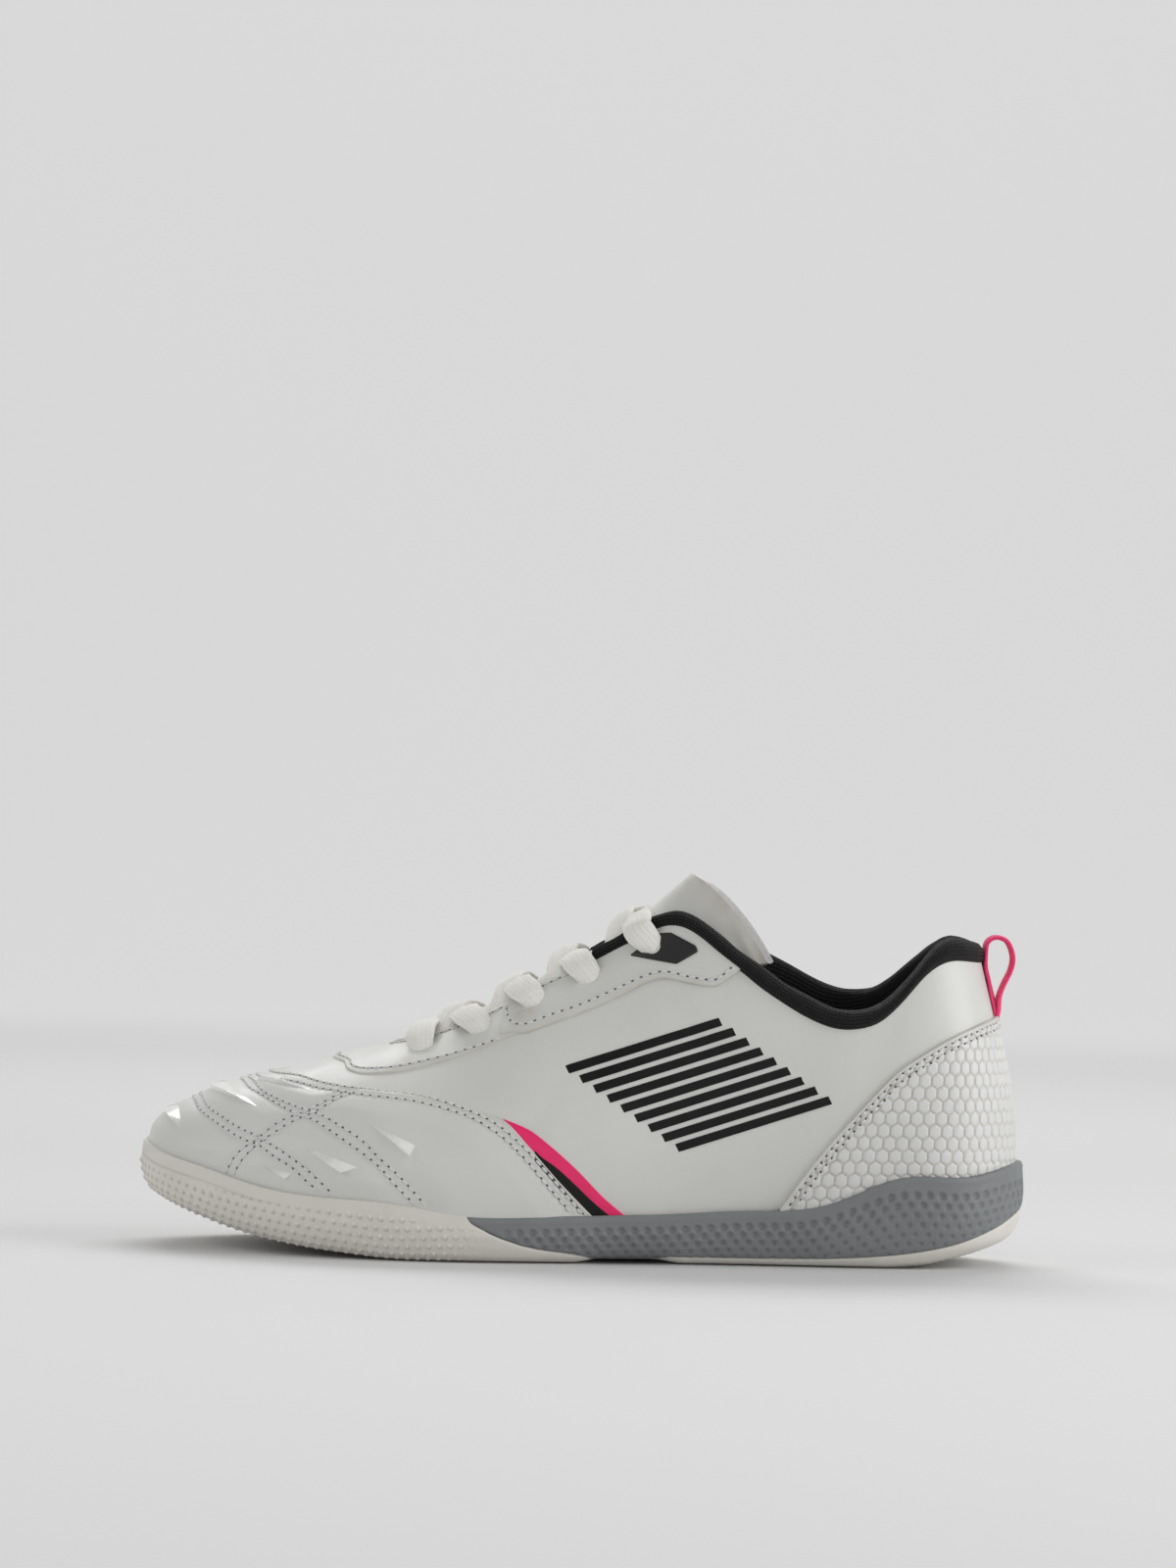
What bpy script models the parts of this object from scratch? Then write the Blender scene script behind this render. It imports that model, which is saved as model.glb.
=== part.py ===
"""Indoor court shoe for the left foot, as an assembly of separate solids.

Frame: +X towards the toe, +Y towards the outer (lateral) side, +Z up.  The origin is on the floor,
under the middle of the shoe's box.  Sizes below are in millimetres and the meshes in metres.
The upper is one hollow wall lofted through ribs that run from the sole's rim up to the topline,
and the sole, lining, counter, tongue and laces are worked out from that same wall.
"""

from collections import namedtuple

import bmesh
import bpy
import numpy as np

MM = 0.001

# Driving dimensions
SHOE_LENGTH = 270.0
WALL = 2.0
GAP = 0.3
RIB_SPLITS = 2
RIB_STEPS = 80
PLACE_STEPS = 400
PLACE_NUDGE = 0.05
SHARE_NUDGE = 0.001
UPPER_SHARES = (0.0, 0.12, 0.26, 0.42, 0.58, 0.74, 0.88, 1.0)

# Sole: the sidewall's profile, its cup for the upper, and the insole that lies in the cup
RIM_LIP = 1.0
CUP_DRAFT = 0.8
INSOLE_THICKNESS = 4.0
INSOLE_CLEARANCE = 0.5

# Small pieces
COUNTER_THICKNESS = 1.2
COUNTER_LEAST_HEIGHT = 3.0
COUNTER_LIFT = 0.8
LOOP_WIDTH = 10.0
LOOP_THICKNESS = 1.2
LACE_WIDTH = 8.0
LACE_THICKNESS = 1.4
LACE_LIFT = 0.6
LACE_STEPS = 13
LACE_START_SHARE = 0.45
LACE_START_BACK = 3.0
LACE_LEAD = 2.0
LACE_BINDING_LEAD = 1.0
LACE_EDGE_SHARE = 0.3
BAR_LAYER = 1.9
OVER_LAYER = 1.4
UNDER_LAYER = 0.85

# One row for each rib of the last, from the back of the heel to the tip of the toe.
#   station: distance from the heel's end to the rib's foot on the sole's outline
#   out, inn: half breadths of the sole's outline on the outer and the inner side
#   rim: height of the sole's rim; ledge: how far the upper stands in from the sole's outline
#   top_x: distance from the heel's end to the rib's top, on the topline
#   top_y, top_out, top_in: the topline's half breadth, and its height on each side
#   rise, flare: handle at the rib's foot, upwards and outwards
#   reach, dip: handle at the rib's top, towards the foot and downwards
Rib = namedtuple("Rib", "name station out inn rim ledge top_x top_y top_out top_in rise flare reach dip")
RIBS = (
    Rib("heel_back", 0, 0.0, 0.0, 31.5, 3.8, 15.0, 0.0, 93.0, 93.0, 22, 0.6, 4.0, 17.0),
    Rib("heel_corner", 7, 19.0, 19.0, 30.0, 3.8, 16.5, 9.0, 93.3, 93.3, 22, 0.8, 5.0, 17.0),
    Rib("heel_round", 20, 29.5, 29.5, 27.8, 3.7, 22.0, 17.5, 94.0, 94.0, 22, 1.5, 5.5, 18.0),
    Rib("heel_side", 40, 33.5, 32.5, 27.2, 3.5, 34.0, 25.5, 88.0, 87.0, 20, 2.5, 6.0, 20.0),
    Rib("heel_dip", 51, 34.0, 32.3, 23.0, 3.3, 44.0, 28.8, 77.0, 78.5, 18, 3.0, 5.0, 18.0),
    Rib("ankle", 62, 34.2, 31.6, 18.7, 3.1, 54.0, 31.0, 72.8, 76.6, 18, 3.5, 3.5, 16.0),
    Rib("waist_back", 85, 35.0, 29.8, 16.6, 2.8, 75.0, 30.5, 79.8, 85.0, 20, 3.0, 4.5, 20.0),
    Rib("waist", 108, 37.5, 29.2, 15.2, 2.6, 98.0, 25.0, 96.5, 98.0, 24, 2.0, 7.0, 23.0),
    Rib("collar_corner", 120, 39.5, 30.3, 14.8, 2.5, 110.0, 19.5, 101.6, 102.2, 26, 2.0, 9.0, 20.0),
    Rib("waist_front", 130, 41.5, 32.2, 14.5, 2.5, 123.0, 15.5, 95.0, 95.0, 26, 2.0, 13.0, 16.0),
    Rib("instep", 150, 45.5, 38.5, 13.9, 2.5, 145.0, 13.0, 84.0, 84.0, 25, 2.0, 15.0, 12.0),
    Rib("ball_back", 170, 48.0, 45.0, 14.0, 2.5, 165.0, 10.5, 73.0, 73.0, 25, 2.5, 17.0, 9.5),
    Rib("ball", 190, 48.0, 47.9, 16.8, 2.5, 181.0, 8.5, 66.3, 66.3, 25, 2.0, 16.0, 7.0),
    Rib("toe_back", 210, 45.0, 47.9, 18.0, 2.4, 190.5, 6.3, 63.6, 63.6, 24, 0.0, 22.0, 8.0),
    Rib("toe_side", 230, 38.0, 45.0, 20.0, 2.3, 194.0, 4.0, 62.6, 62.6, 20.5, -2.0, 28.0, 9.5),
    Rib("toe_round", 248, 27.0, 37.5, 24.6, 2.2, 195.3, 2.2, 62.2, 62.2, 18.5, -4.0, 34.0, 10.0),
    Rib("toe_corner", 264, 12.5, 25.0, 28.6, 2.1, 195.9, 1.0, 62.05, 62.05, 16.5, -6.5, 39.0, 11.0),
    Rib("toe_tip", 270, -8.0, 8.0, 31.2, 2.1, 196.0, 0.0, 62.0, 62.0, 15.5, -8.0, 42.0, 11.5),
)
SIDE_RIBS = len(RIBS) - 1
ROUND_RIBS = 2 * SIDE_RIBS

# Height of the tread and of the cup's bed along the shoe, from the heel's end
Ground = namedtuple("Ground", "station tread bed")
GROUND = (
    Ground(0, 12.0, 17.2),
    Ground(9, 7.0, 17.0),
    Ground(20, 3.8, 16.4),
    Ground(34, 0.9, 15.6),
    Ground(46, 0.0, 14.8),
    Ground(80, 0.0, 11.6),
    Ground(110, 0.0, 8.4),
    Ground(140, 0.0, 6.6),
    Ground(170, 0.0, 6.5),
    Ground(185, 0.0, 7.0),
    Ground(209, 1.8, 9.0),
    Ground(229, 4.6, 12.0),
    Ground(248, 9.6, 16.0),
    Ground(261, 15.0, 19.6),
    Ground(270, 20.0, 22.0),
)

# Sidewall of the sole from the tread's edge up to the rim: inset from the outline, share of the height
Sidewall = namedtuple("Sidewall", "inset level")
SIDEWALL = (
    Sidewall(9.0, 0.00),
    Sidewall(5.0, 0.05),
    Sidewall(2.2, 0.18),
    Sidewall(0.6, 0.40),
    Sidewall(0.0, 0.62),
    Sidewall(0.3, 0.85),
    Sidewall(RIM_LIP, 1.00),
)

# Side-view seams of the sole: pale forefoot rubber under the grey cup, and the pale heel pad under it
Seam = namedtuple("Seam", "station height")
FOREFOOT_SEAM = (
    Seam(169.5, 45.0),
    Seam(168.5, 13.7),
    Seam(163.4, 10.1),
    Seam(155.6, 6.7),
    Seam(147.0, 4.4),
    Seam(137.0, 3.0),
    Seam(129.0, 2.2),
)
HEEL_SEAM = (
    Seam(113.0, 2.2),
    Seam(85.0, 2.2),
    Seam(65.0, 2.5),
    Seam(44.5, 3.8),
    Seam(23.4, 7.2),
    Seam(8.4, 12.5),
    Seam(1.7, 16.5),
    Seam(-6.0, 21.0),
)
SEAM_REACH = 80.0

# Padded collar along the topline, a row for each rib that it passes: the dark band's height over the
# upper's edge, the foam's thickness inside the wall, and how deep the lining reaches inside
Collar = namedtuple("Collar", "rib band pad depth")
COLLAR = (
    Collar("heel_back", 5.5, 5.0, 38.0),
    Collar("heel_corner", 5.8, 5.2, 38.0),
    Collar("heel_round", 6.2, 5.5, 37.0),
    Collar("heel_side", 5.6, 5.5, 34.0),
    Collar("heel_dip", 4.8, 5.5, 28.0),
    Collar("ankle", 4.5, 5.0, 26.0),
    Collar("waist_back", 4.4, 4.0, 24.0),
    Collar("waist", 3.8, 2.0, 16.0),
    Collar("collar_corner", 3.4, 1.4, 8.0),
    Collar("waist_front", 3.2, 1.2, 6.0),
)
COLLAR_FRONT_STATION = 126.0
COLLAR_SPLITS = 2
COLLAR_CHEEK = 0.6
COLLAR_CHEEK_LEVEL = 0.45
COLLAR_GAP = 0.5

# Section of the collar: its roll over the edge, as shares of the band and of the whole width, and its
# lining inside, as shares of the depth and of the foam
Roll = namedtuple("Roll", "band width")
COLLAR_ROLL = (
    Roll(0.85, 0.0),
    Roll(1.00, 0.28),
    Roll(0.94, 0.65),
    Roll(0.60, 0.93),
    Roll(0.00, 1.0),
)
Lining = namedtuple("Lining", "depth foam")
COLLAR_LINING = (
    Lining(0.40, 0.90),
    Lining(0.75, 0.55),
    Lining(1.00, 0.20),
    Lining(1.00, 0.00),
    Lining(0.50, 0.00),
)

# Height of the heel counter's upper edge on each rib that it covers
Counter = namedtuple("Counter", "rib height")
COUNTER = (
    Counter("heel_back", 76.0),
    Counter("heel_corner", 74.8),
    Counter("heel_round", 71.5),
    Counter("heel_side", 61.5),
    Counter("heel_dip", 51.0),
    Counter("ankle", 38.0),
    Counter("waist_back", 2.0),
)
COUNTER_ROWS = 5
COUNTER_PLACES = 53

# Tongue from its sewn front end to its free top: spine, half breadth, drop of the sides, thickness
Tongue = namedtuple("Tongue", "station height half_breadth drop thickness")
TONGUE = (
    Tongue(212, 53.0, 13.0, 2.0, 1.6),
    Tongue(198, 57.6, 16.0, 3.5, 1.8),
    Tongue(185, 62.8, 18.0, 6.5, 2.2),
    Tongue(165, 71.4, 18.5, 9.5, 3.0),
    Tongue(145, 82.6, 19.0, 13.5, 3.6),
    Tongue(128, 95.0, 19.5, 18.5, 4.4),
    Tongue(116, 105.8, 20.0, 26.5, 5.0),
    Tongue(104, 116.8, 20.5, 35.0, 5.0),
)
TONGUE_LENGTH_STEPS = 14
TONGUE_TOP_SWELL = 2.5
TONGUE_SWELL_POWER = 6
TONGUE_ROUNDING = 2.4
TONGUE_LINING_OVERHANG = 2.5
TONGUE_OVERHANG_POWER = 12
SPINE_NUDGE = 0.5
TONGUE_BREADTH_STEPS = 12

# Eyelets, from the front: station on the throat's edge and distance down from that edge
Eyelet = namedtuple("Eyelet", "station drop")
EYELETS = (
    Eyelet(185, 10.0),
    Eyelet(166, 9.5),
    Eyelet(149, 9.0),
    Eyelet(132, 9.0),
    Eyelet(115, 9.0),
)

# Pull loop's free turn behind the heel, from the counter's edge up the heel and back down
Turn = namedtuple("Turn", "station height")
LOOP_LEG_DROPS = (17.0, 12.0, 7.0, 2.0)
LOOP_TURN = (
    Turn(13.4, 97.5),
    Turn(10.6, 99.8),
    Turn(7.4, 99.0),
    Turn(5.0, 93.0),
    Turn(5.8, 87.0),
    Turn(7.0, 81.5),
    Turn(7.3, 77.5),
)

# Base colours, roughness and metallic value of each material
Finish = namedtuple("Finish", "colour roughness metallic")
WHITE_LEATHER = Finish((0.78, 0.77, 0.75), 0.45, 0.0)
BLACK_MESH = Finish((0.012, 0.012, 0.013), 0.85, 0.0)
PALE_RUBBER = Finish((0.70, 0.67, 0.62), 0.55, 0.0)
GREY_RUBBER = Finish((0.22, 0.24, 0.26), 0.55, 0.0)
LACE_COTTON = Finish((0.80, 0.78, 0.72), 0.85, 0.0)
PINK_WEBBING = Finish((0.78, 0.03, 0.13), 0.75, 0.0)
INSOLE_CLOTH = Finish((0.03, 0.03, 0.033), 0.9, 0.0)


def periodic_spline(knots, values):
    """Smooth closed curve through values at knots; the last knot is the period.  Returns f(u)."""
    values = np.asarray(values, float)
    count = len(values)
    steps = np.diff(knots)
    system = np.zeros((count, count))
    right = np.zeros_like(values)
    for i in range(count):
        before, after = steps[i - 1], steps[i]
        system[i, i - 1] += before
        system[i, i] += 2 * (before + after)
        system[i, (i + 1) % count] += after
        rise_after = (values[(i + 1) % count] - values[i]) / after
        rise_before = (values[i] - values[i - 1]) / before
        right[i] = 6 * (rise_after - rise_before)
    bend = np.linalg.solve(system, right.reshape(count, -1)).reshape(values.shape)

    def curve(u):
        u = np.mod(np.asarray(u, float), knots[-1])
        i = np.clip(np.searchsorted(knots, u, side="right") - 1, 0, count - 1)
        j = (i + 1) % count
        step = steps[i]
        a = (knots[i + 1] - u) / step
        b = (u - knots[i]) / step
        extra = values.ndim - 1
        a, b, step = (q.reshape(q.shape + (1,) * extra) for q in (a, b, step))
        cubic = ((a**3 - a) * bend[i] + (b**3 - b) * bend[j]) * step**2 / 6
        return a * values[i] + b * values[j] + cubic

    return curve


def monotone_curve(xs, ys):
    """Smooth curve through a table that never overshoots it.  Returns f(x)."""
    xs, ys = np.asarray(xs, float), np.asarray(ys, float)
    slopes = np.diff(ys) / np.diff(xs)
    tangents = np.zeros_like(ys)
    same = slopes[:-1] * slopes[1:] > 0
    harmonic = np.zeros_like(slopes[:-1])
    harmonic[same] = 2 / (1 / slopes[:-1][same] + 1 / slopes[1:][same])
    tangents[1:-1] = harmonic
    tangents[0], tangents[-1] = slopes[0], slopes[-1]

    def curve(x):
        x = np.clip(x, xs[0], xs[-1])
        i = np.clip(np.searchsorted(xs, x, side="right") - 1, 0, len(xs) - 2)
        step = xs[i + 1] - xs[i]
        t = (x - xs[i]) / step
        start = (1 + 2 * t) * (1 - t) ** 2 * ys[i] + t * (1 - t) ** 2 * step * tangents[i]
        end = t**2 * (3 - 2 * t) * ys[i + 1] + t**2 * (t - 1) * step * tangents[i + 1]
        return start + end

    return curve


def lengthwise(station):
    """X of a distance from the heel's end."""
    return np.asarray(station, float) - SHOE_LENGTH / 2


def around(outer, inner):
    """A rib column round the whole shoe: heel, outer side, toe, inner side."""
    return np.array([outer(r) for r in RIBS] + [inner(r) for r in RIBS[-2:0:-1]], float)


class Last:
    """The shoe's wall: a loft of ribs round the outline, each a cubic from the rim to the topline."""

    def __init__(self):
        corners = np.stack(
            [
                around(lambda r: lengthwise(r.station), lambda r: lengthwise(r.station)),
                around(lambda r: r.out, lambda r: -r.inn),
            ],
            axis=-1,
        )
        chords = np.linalg.norm(np.roll(corners, -1, axis=0) - corners, axis=1)
        self.knots = np.concatenate([[0.0], np.cumsum(chords)])
        self.outline = periodic_spline(self.knots, corners)
        self.rim = periodic_spline(self.knots, around(lambda r: r.rim, lambda r: r.rim))
        self.ledge = periodic_spline(self.knots, around(lambda r: r.ledge, lambda r: r.ledge))
        self.handles = periodic_spline(self.knots, self.rib_handles())
        self.tread = monotone_curve(lengthwise([g.station for g in GROUND]), [g.tread for g in GROUND])
        self.bed = monotone_curve(lengthwise([g.station for g in GROUND]), [g.bed for g in GROUND])

    def outward(self, u):
        """Unit plan normal of the outline, pointing out of the shoe."""
        along = self.outline(np.asarray(u) + PLACE_NUDGE) - self.outline(np.asarray(u) - PLACE_NUDGE)
        along /= np.linalg.norm(along, axis=-1, keepdims=True)
        return np.stack([-along[..., 1], along[..., 0]], axis=-1)

    def inset(self, u, distance):
        """Point of the outline moved inwards, in plan."""
        return self.outline(u) - np.asarray(distance)[..., None] * self.outward(u)

    def rib_handles(self):
        """The four control points of every rib."""
        u = self.knots[:-1]
        normal = self.outward(u)
        foot = np.column_stack([self.inset(u, self.ledge(u)), self.rim(u)])
        top = np.column_stack(
            [
                around(lambda r: lengthwise(r.top_x), lambda r: lengthwise(r.top_x)),
                around(lambda r: r.top_y, lambda r: -r.top_y),
                around(lambda r: r.top_out, lambda r: r.top_in),
            ]
        )
        rise, flare, reach, dip = (
            around(lambda r, c=c: getattr(r, c), lambda r, c=c: getattr(r, c))
            for c in ("rise", "flare", "reach", "dip")
        )
        low = foot + np.column_stack([normal * flare[:, None], rise])
        towards = foot[:, :2] - top[:, :2]
        towards /= np.linalg.norm(towards, axis=1, keepdims=True)
        high = top + np.column_stack([towards * reach[:, None], -dip])
        return np.stack([foot, low, high, top], axis=1)

    def u_of(self, rib_name, inner=False):
        """Place of a named rib round the outline."""
        index = next(i for i, r in enumerate(RIBS) if r.name == rib_name)
        return self.knots[ROUND_RIBS - index] if inner else self.knots[index]

    def u_at_top(self, station, inner=False):
        """Place whose topline point is that far from the heel's end, on the throat or collar front."""
        u = np.linspace(self.u_of("ankle", inner), self.u_of("toe_tip", inner), PLACE_STEPS)
        x = self.handles(u)[:, 3, 0]
        return float(np.interp(lengthwise(station), x, u))

    def bare(self, u, v):
        """Points of the outer face: v is 0 at the rim and 1 at the topline."""
        p = self.handles(u)
        v = np.asarray(v, float)[..., None]
        w = 1 - v
        weights = (w**3, 3 * w**2 * v, 3 * w * v**2, v**3)
        return sum(weight * p[..., i, :] for i, weight in enumerate(weights))

    def normal(self, u, v):
        """Outward unit normal of the outer face."""
        low, high = np.maximum(v - SHARE_NUDGE, 0), np.minimum(v + SHARE_NUDGE, 1)
        along = self.bare(u + PLACE_NUDGE, v) - self.bare(u - PLACE_NUDGE, v)
        up = self.bare(u, high) - self.bare(u, low)
        n = np.cross(up, along)
        return n / np.linalg.norm(n, axis=-1, keepdims=True)

    def face(self, u, v, out=0.0):
        """Points of the outer face, moved out along its normal (in, where out is negative)."""
        u, v = np.broadcast_arrays(np.asarray(u, float), np.asarray(v, float))
        return self.bare(u, v) + np.asarray(out)[..., None] * self.normal(u, v)

    def below_top(self, u, drop, out=0.0):
        """Point of the wall at a distance down its rib from the topline, or above it if negative."""
        v = np.linspace(0, 1, RIB_STEPS)
        rib = self.bare(np.full_like(v, u), v)
        lengths = np.concatenate([[0], np.cumsum(np.linalg.norm(np.diff(rib, axis=0), axis=1))])
        if drop >= 0:
            return self.face(u, np.interp(lengths[-1] - drop, lengths, v), out)
        direction = rib[-1] - rib[-2]
        return self.face(u, 1.0, out) - drop * direction / np.linalg.norm(direction)

    def v_at_height(self, u, height):
        """Share of the rib's length where the wall reaches a height."""
        v = np.linspace(0, 1, RIB_STEPS)
        return float(np.interp(height, self.bare(np.full_like(v, u), v)[:, 2], v))

    def ring_places(self):
        """Evenly split places round the outline, the same number on each side."""
        ends = zip(self.knots[:-1], self.knots[1:])
        return np.concatenate([np.linspace(a, b, RIB_SPLITS, endpoint=False) for a, b in ends])


def add_material(name, finish):
    """Principled material with the piece's base colour, roughness and metallic value."""
    material = bpy.data.materials.new(name)
    material.use_nodes = True
    shader = material.node_tree.nodes["Principled BSDF"]
    shader.inputs["Base Color"].default_value = (*finish.colour, 1.0)
    shader.inputs["Roughness"].default_value = finish.roughness
    shader.inputs["Metallic"].default_value = finish.metallic
    return material


def add_solid(name, points, faces, material):
    """One closed mesh object from points in millimetres, with its faces turned outwards."""
    mesh = bpy.data.meshes.new(name)
    mesh.from_pydata([tuple(float(c) * MM for c in p) for p in points], [], faces)
    work = bmesh.new()
    work.from_mesh(mesh)
    bmesh.ops.recalc_face_normals(work, faces=work.faces)
    work.to_mesh(mesh)
    work.free()
    mesh.materials.append(material)
    mesh.shade_smooth()
    solid = bpy.data.objects.new(name, mesh)
    bpy.context.scene.collection.objects.link(solid)
    return solid


def bands(rows, columns, wrap_rows, wrap_columns):
    """Quads of a grid of points, with either way closed into a loop."""
    faces = []
    for r in range(rows if wrap_rows else rows - 1):
        here, below = r * columns, (r + 1) % rows * columns
        for c in range(columns if wrap_columns else columns - 1):
            beside = (c + 1) % columns
            faces.append((here + c, here + beside, below + beside, below + c))
    return faces


def cross_cap(start, count):
    """Strips across a ring that starts at the heel, each joining an outer point to its inner partner."""
    half = count // 2
    faces = [(start, start + 1, start + count - 1)]
    for i in range(1, half - 1):
        faces.append((start + i, start + i + 1, start + count - i - 1, start + count - i))
    faces.append((start + half - 1, start + half, start + half + 1))
    return faces


def build_upper(last, material):
    """The hollow wall: outer face up, inner face down, open at the topline and underneath."""
    u = last.ring_places()
    low = last.inset(u, last.ledge(u) + CUP_DRAFT)
    bed = last.bed(low[:, 0]) + GAP
    outer_foot = np.column_stack([low, bed])
    inner_low = last.inset(u, last.ledge(u) + CUP_DRAFT + WALL)
    inner_foot = np.column_stack([inner_low, last.bed(inner_low[:, 0]) + GAP])
    outer = [last.face(u, np.full_like(u, v)) for v in UPPER_SHARES]
    inner = [last.face(u, np.full_like(u, v), -WALL) for v in reversed(UPPER_SHARES)]
    rings = np.stack([outer_foot, *outer, *inner, inner_foot])
    faces = bands(len(rings), len(u), wrap_rows=True, wrap_columns=True)
    return add_solid("upper", rings.reshape(-1, 3), faces, material)


def sole_body(last):
    """Points and faces of the whole cupsole, before its seams part it."""
    u = last.ring_places()
    tread_edge = last.inset(u, np.full_like(u, SIDEWALL[0].inset))
    tread = last.tread(tread_edge[:, 0])
    rim = last.rim(u)
    rings = []
    for wall in SIDEWALL:
        plan = last.inset(u, np.full_like(u, wall.inset))
        rings.append(np.column_stack([plan, tread + wall.level * (rim - tread)]))
    cup_top = last.inset(u, last.ledge(u) - GAP)
    rings.append(np.column_stack([cup_top, rim]))
    cup_foot = last.inset(u, last.ledge(u) + CUP_DRAFT - GAP)
    rings.append(np.column_stack([cup_foot, last.bed(cup_foot[:, 0])]))
    count = len(u)
    faces = bands(len(rings), count, wrap_rows=False, wrap_columns=True)
    faces += cross_cap(0, count) + cross_cap((len(rings) - 1) * count, count)
    return np.concatenate(rings), faces


def add_side_prism(name, corners):
    """Hidden cutter: a side-view outline of (station, height) corners, drawn through the whole breadth."""
    count = len(corners)
    points = [(lengthwise(s), y, z) for y in (-SEAM_REACH, SEAM_REACH) for s, z in corners]
    faces = bands(2, count, wrap_rows=False, wrap_columns=True)
    faces += [tuple(range(count)), tuple(range(count, 2 * count))]
    prism = add_solid(name, points, faces, bpy.data.materials["pale_rubber"])
    prism.hide_render = True
    prism.display_type = "WIRE"
    return prism


def build_sole(last, pale, grey):
    """The three rubber pieces of the sole, parted along their side-view seams."""
    points, faces = sole_body(last)
    above, below = 2 * SEAM_REACH, -SEAM_REACH
    front, back = SHOE_LENGTH + SEAM_REACH, -SEAM_REACH
    forefoot = [Seam(s + GAP, z - GAP) for s, z in FOREFOOT_SEAM]
    heel = [Seam(s, z - GAP) for s, z in HEEL_SEAM]
    forefoot_top = [(front, above), (forefoot[0].station, above)]
    forefoot_foot = [(forefoot[-1].station, below), (front, below)]
    cup_back = [(back, HEEL_SEAM[-1].height), (back, FOREFOOT_SEAM[0].height)]
    outlines = {
        "outsole_forefoot": forefoot_top + forefoot + forefoot_foot,
        "midsole_rear": [*FOREFOOT_SEAM, *HEEL_SEAM, *cup_back],
        "outsole_heel": [*heel, (back, heel[-1].height), (back, below), (heel[0].station, below)],
    }
    for name, corners in outlines.items():
        piece = add_solid(name, points, faces, grey if name == "midsole_rear" else pale)
        keep = piece.modifiers.new("seams", "BOOLEAN")
        keep.operation = "INTERSECT"
        keep.object = add_side_prism(name + "_cutter", corners)


def build_insole(last, material):
    """Flat-edged sock liner on the cup's bed, inside the wall."""
    u = last.ring_places()
    edge = last.inset(u, last.ledge(u) + CUP_DRAFT + WALL + INSOLE_CLEARANCE)
    bed = last.bed(edge[:, 0]) + GAP
    rings = [np.column_stack([edge, bed]), np.column_stack([edge, bed + INSOLE_THICKNESS])]
    faces = bands(2, len(u), wrap_rows=False, wrap_columns=True)
    faces += cross_cap(0, len(u)) + cross_cap(len(u), len(u))
    add_solid("insole", np.concatenate(rings), faces, material)


def collar_section(last, u, band, pad, depth):
    """Loop of points round the padded collar at one place of the topline."""
    inside = WALL + COLLAR_GAP
    width = inside + pad
    loop = [(-COLLAR_GAP, 0.0), (-COLLAR_CHEEK_LEVEL * band, COLLAR_CHEEK)]
    loop += [(-roll.band * band, -roll.width * width) for roll in COLLAR_ROLL]
    loop += [(lining.depth * depth, -inside - lining.foam * pad) for lining in COLLAR_LINING]
    loop.append((-COLLAR_GAP, -inside))
    return [last.below_top(u, drop, out) for drop, out in loop]


def build_collar(last, material):
    """Foam collar with its knitted lining, from one side of the throat round the heel to the other."""
    table = np.array([[c.band, c.pad, c.depth] for c in COLLAR])
    outer_end = last.u_at_top(COLLAR_FRONT_STATION)
    inner_end = last.u_at_top(COLLAR_FRONT_STATION, inner=True) - last.knots[-1]
    outer = [last.u_of(c.rib) for c in COLLAR]
    outer[-1] = outer_end
    inner = [last.u_of(c.rib, inner=True) - last.knots[-1] for c in COLLAR[1:]]
    inner[-1] = inner_end
    places = np.array(inner[::-1] + outer)
    values = np.concatenate([table[:0:-1], table])
    ends = zip(places[:-1], places[1:])
    spans = [np.linspace(a, b, COLLAR_SPLITS, endpoint=False) for a, b in ends]
    fine = np.append(np.concatenate(spans), places[-1])
    sizes = np.column_stack([np.interp(fine, places, values[:, c]) for c in range(3)])
    rings = np.array([collar_section(last, u, *size) for u, size in zip(fine, sizes)])
    count = rings.shape[1]
    faces = bands(len(rings), count, wrap_rows=False, wrap_columns=True)
    last_start = (len(rings) - 1) * count
    faces += [tuple(range(count)), tuple(range(last_start, last_start + count))]
    add_solid("collar", rings.reshape(-1, 3), faces, material)


def build_counter(last, material):
    """Heel counter: a skin between two larger forms of the wall, from the rim to its slanting edge."""
    outer = np.array([last.u_of(c.rib) for c in COUNTER])
    inner = np.array([last.u_of(c.rib, inner=True) - last.knots[-1] for c in COUNTER[1:]])
    heights = [c.height for c in COUNTER]
    edge = monotone_curve(np.concatenate([inner[::-1], outer]), heights[:0:-1] + heights)
    places = np.linspace(inner[-1], outer[-1], COUNTER_PLACES)
    places = [u for u in places if edge(u) > last.rim(u) + COUNTER_LEAST_HEIGHT]
    sheet = []
    for u in places:
        low = last.v_at_height(u, float(last.rim(u)) + COUNTER_LIFT)
        high = last.v_at_height(u, float(edge(u)))
        shares = np.linspace(low, high, COUNTER_ROWS)
        near = last.face(u, shares, GAP)
        far = last.face(u, shares[::-1], GAP + COUNTER_THICKNESS)
        sheet.append(np.concatenate([near, far]))
    rings = np.array(sheet)
    count = rings.shape[1]
    faces = bands(len(rings), count, wrap_rows=False, wrap_columns=True)
    last_start = (len(rings) - 1) * count
    faces += [tuple(range(count)), tuple(range(last_start, last_start + count))]
    add_solid("heel_counter", rings.reshape(-1, 3), faces, material)


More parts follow.
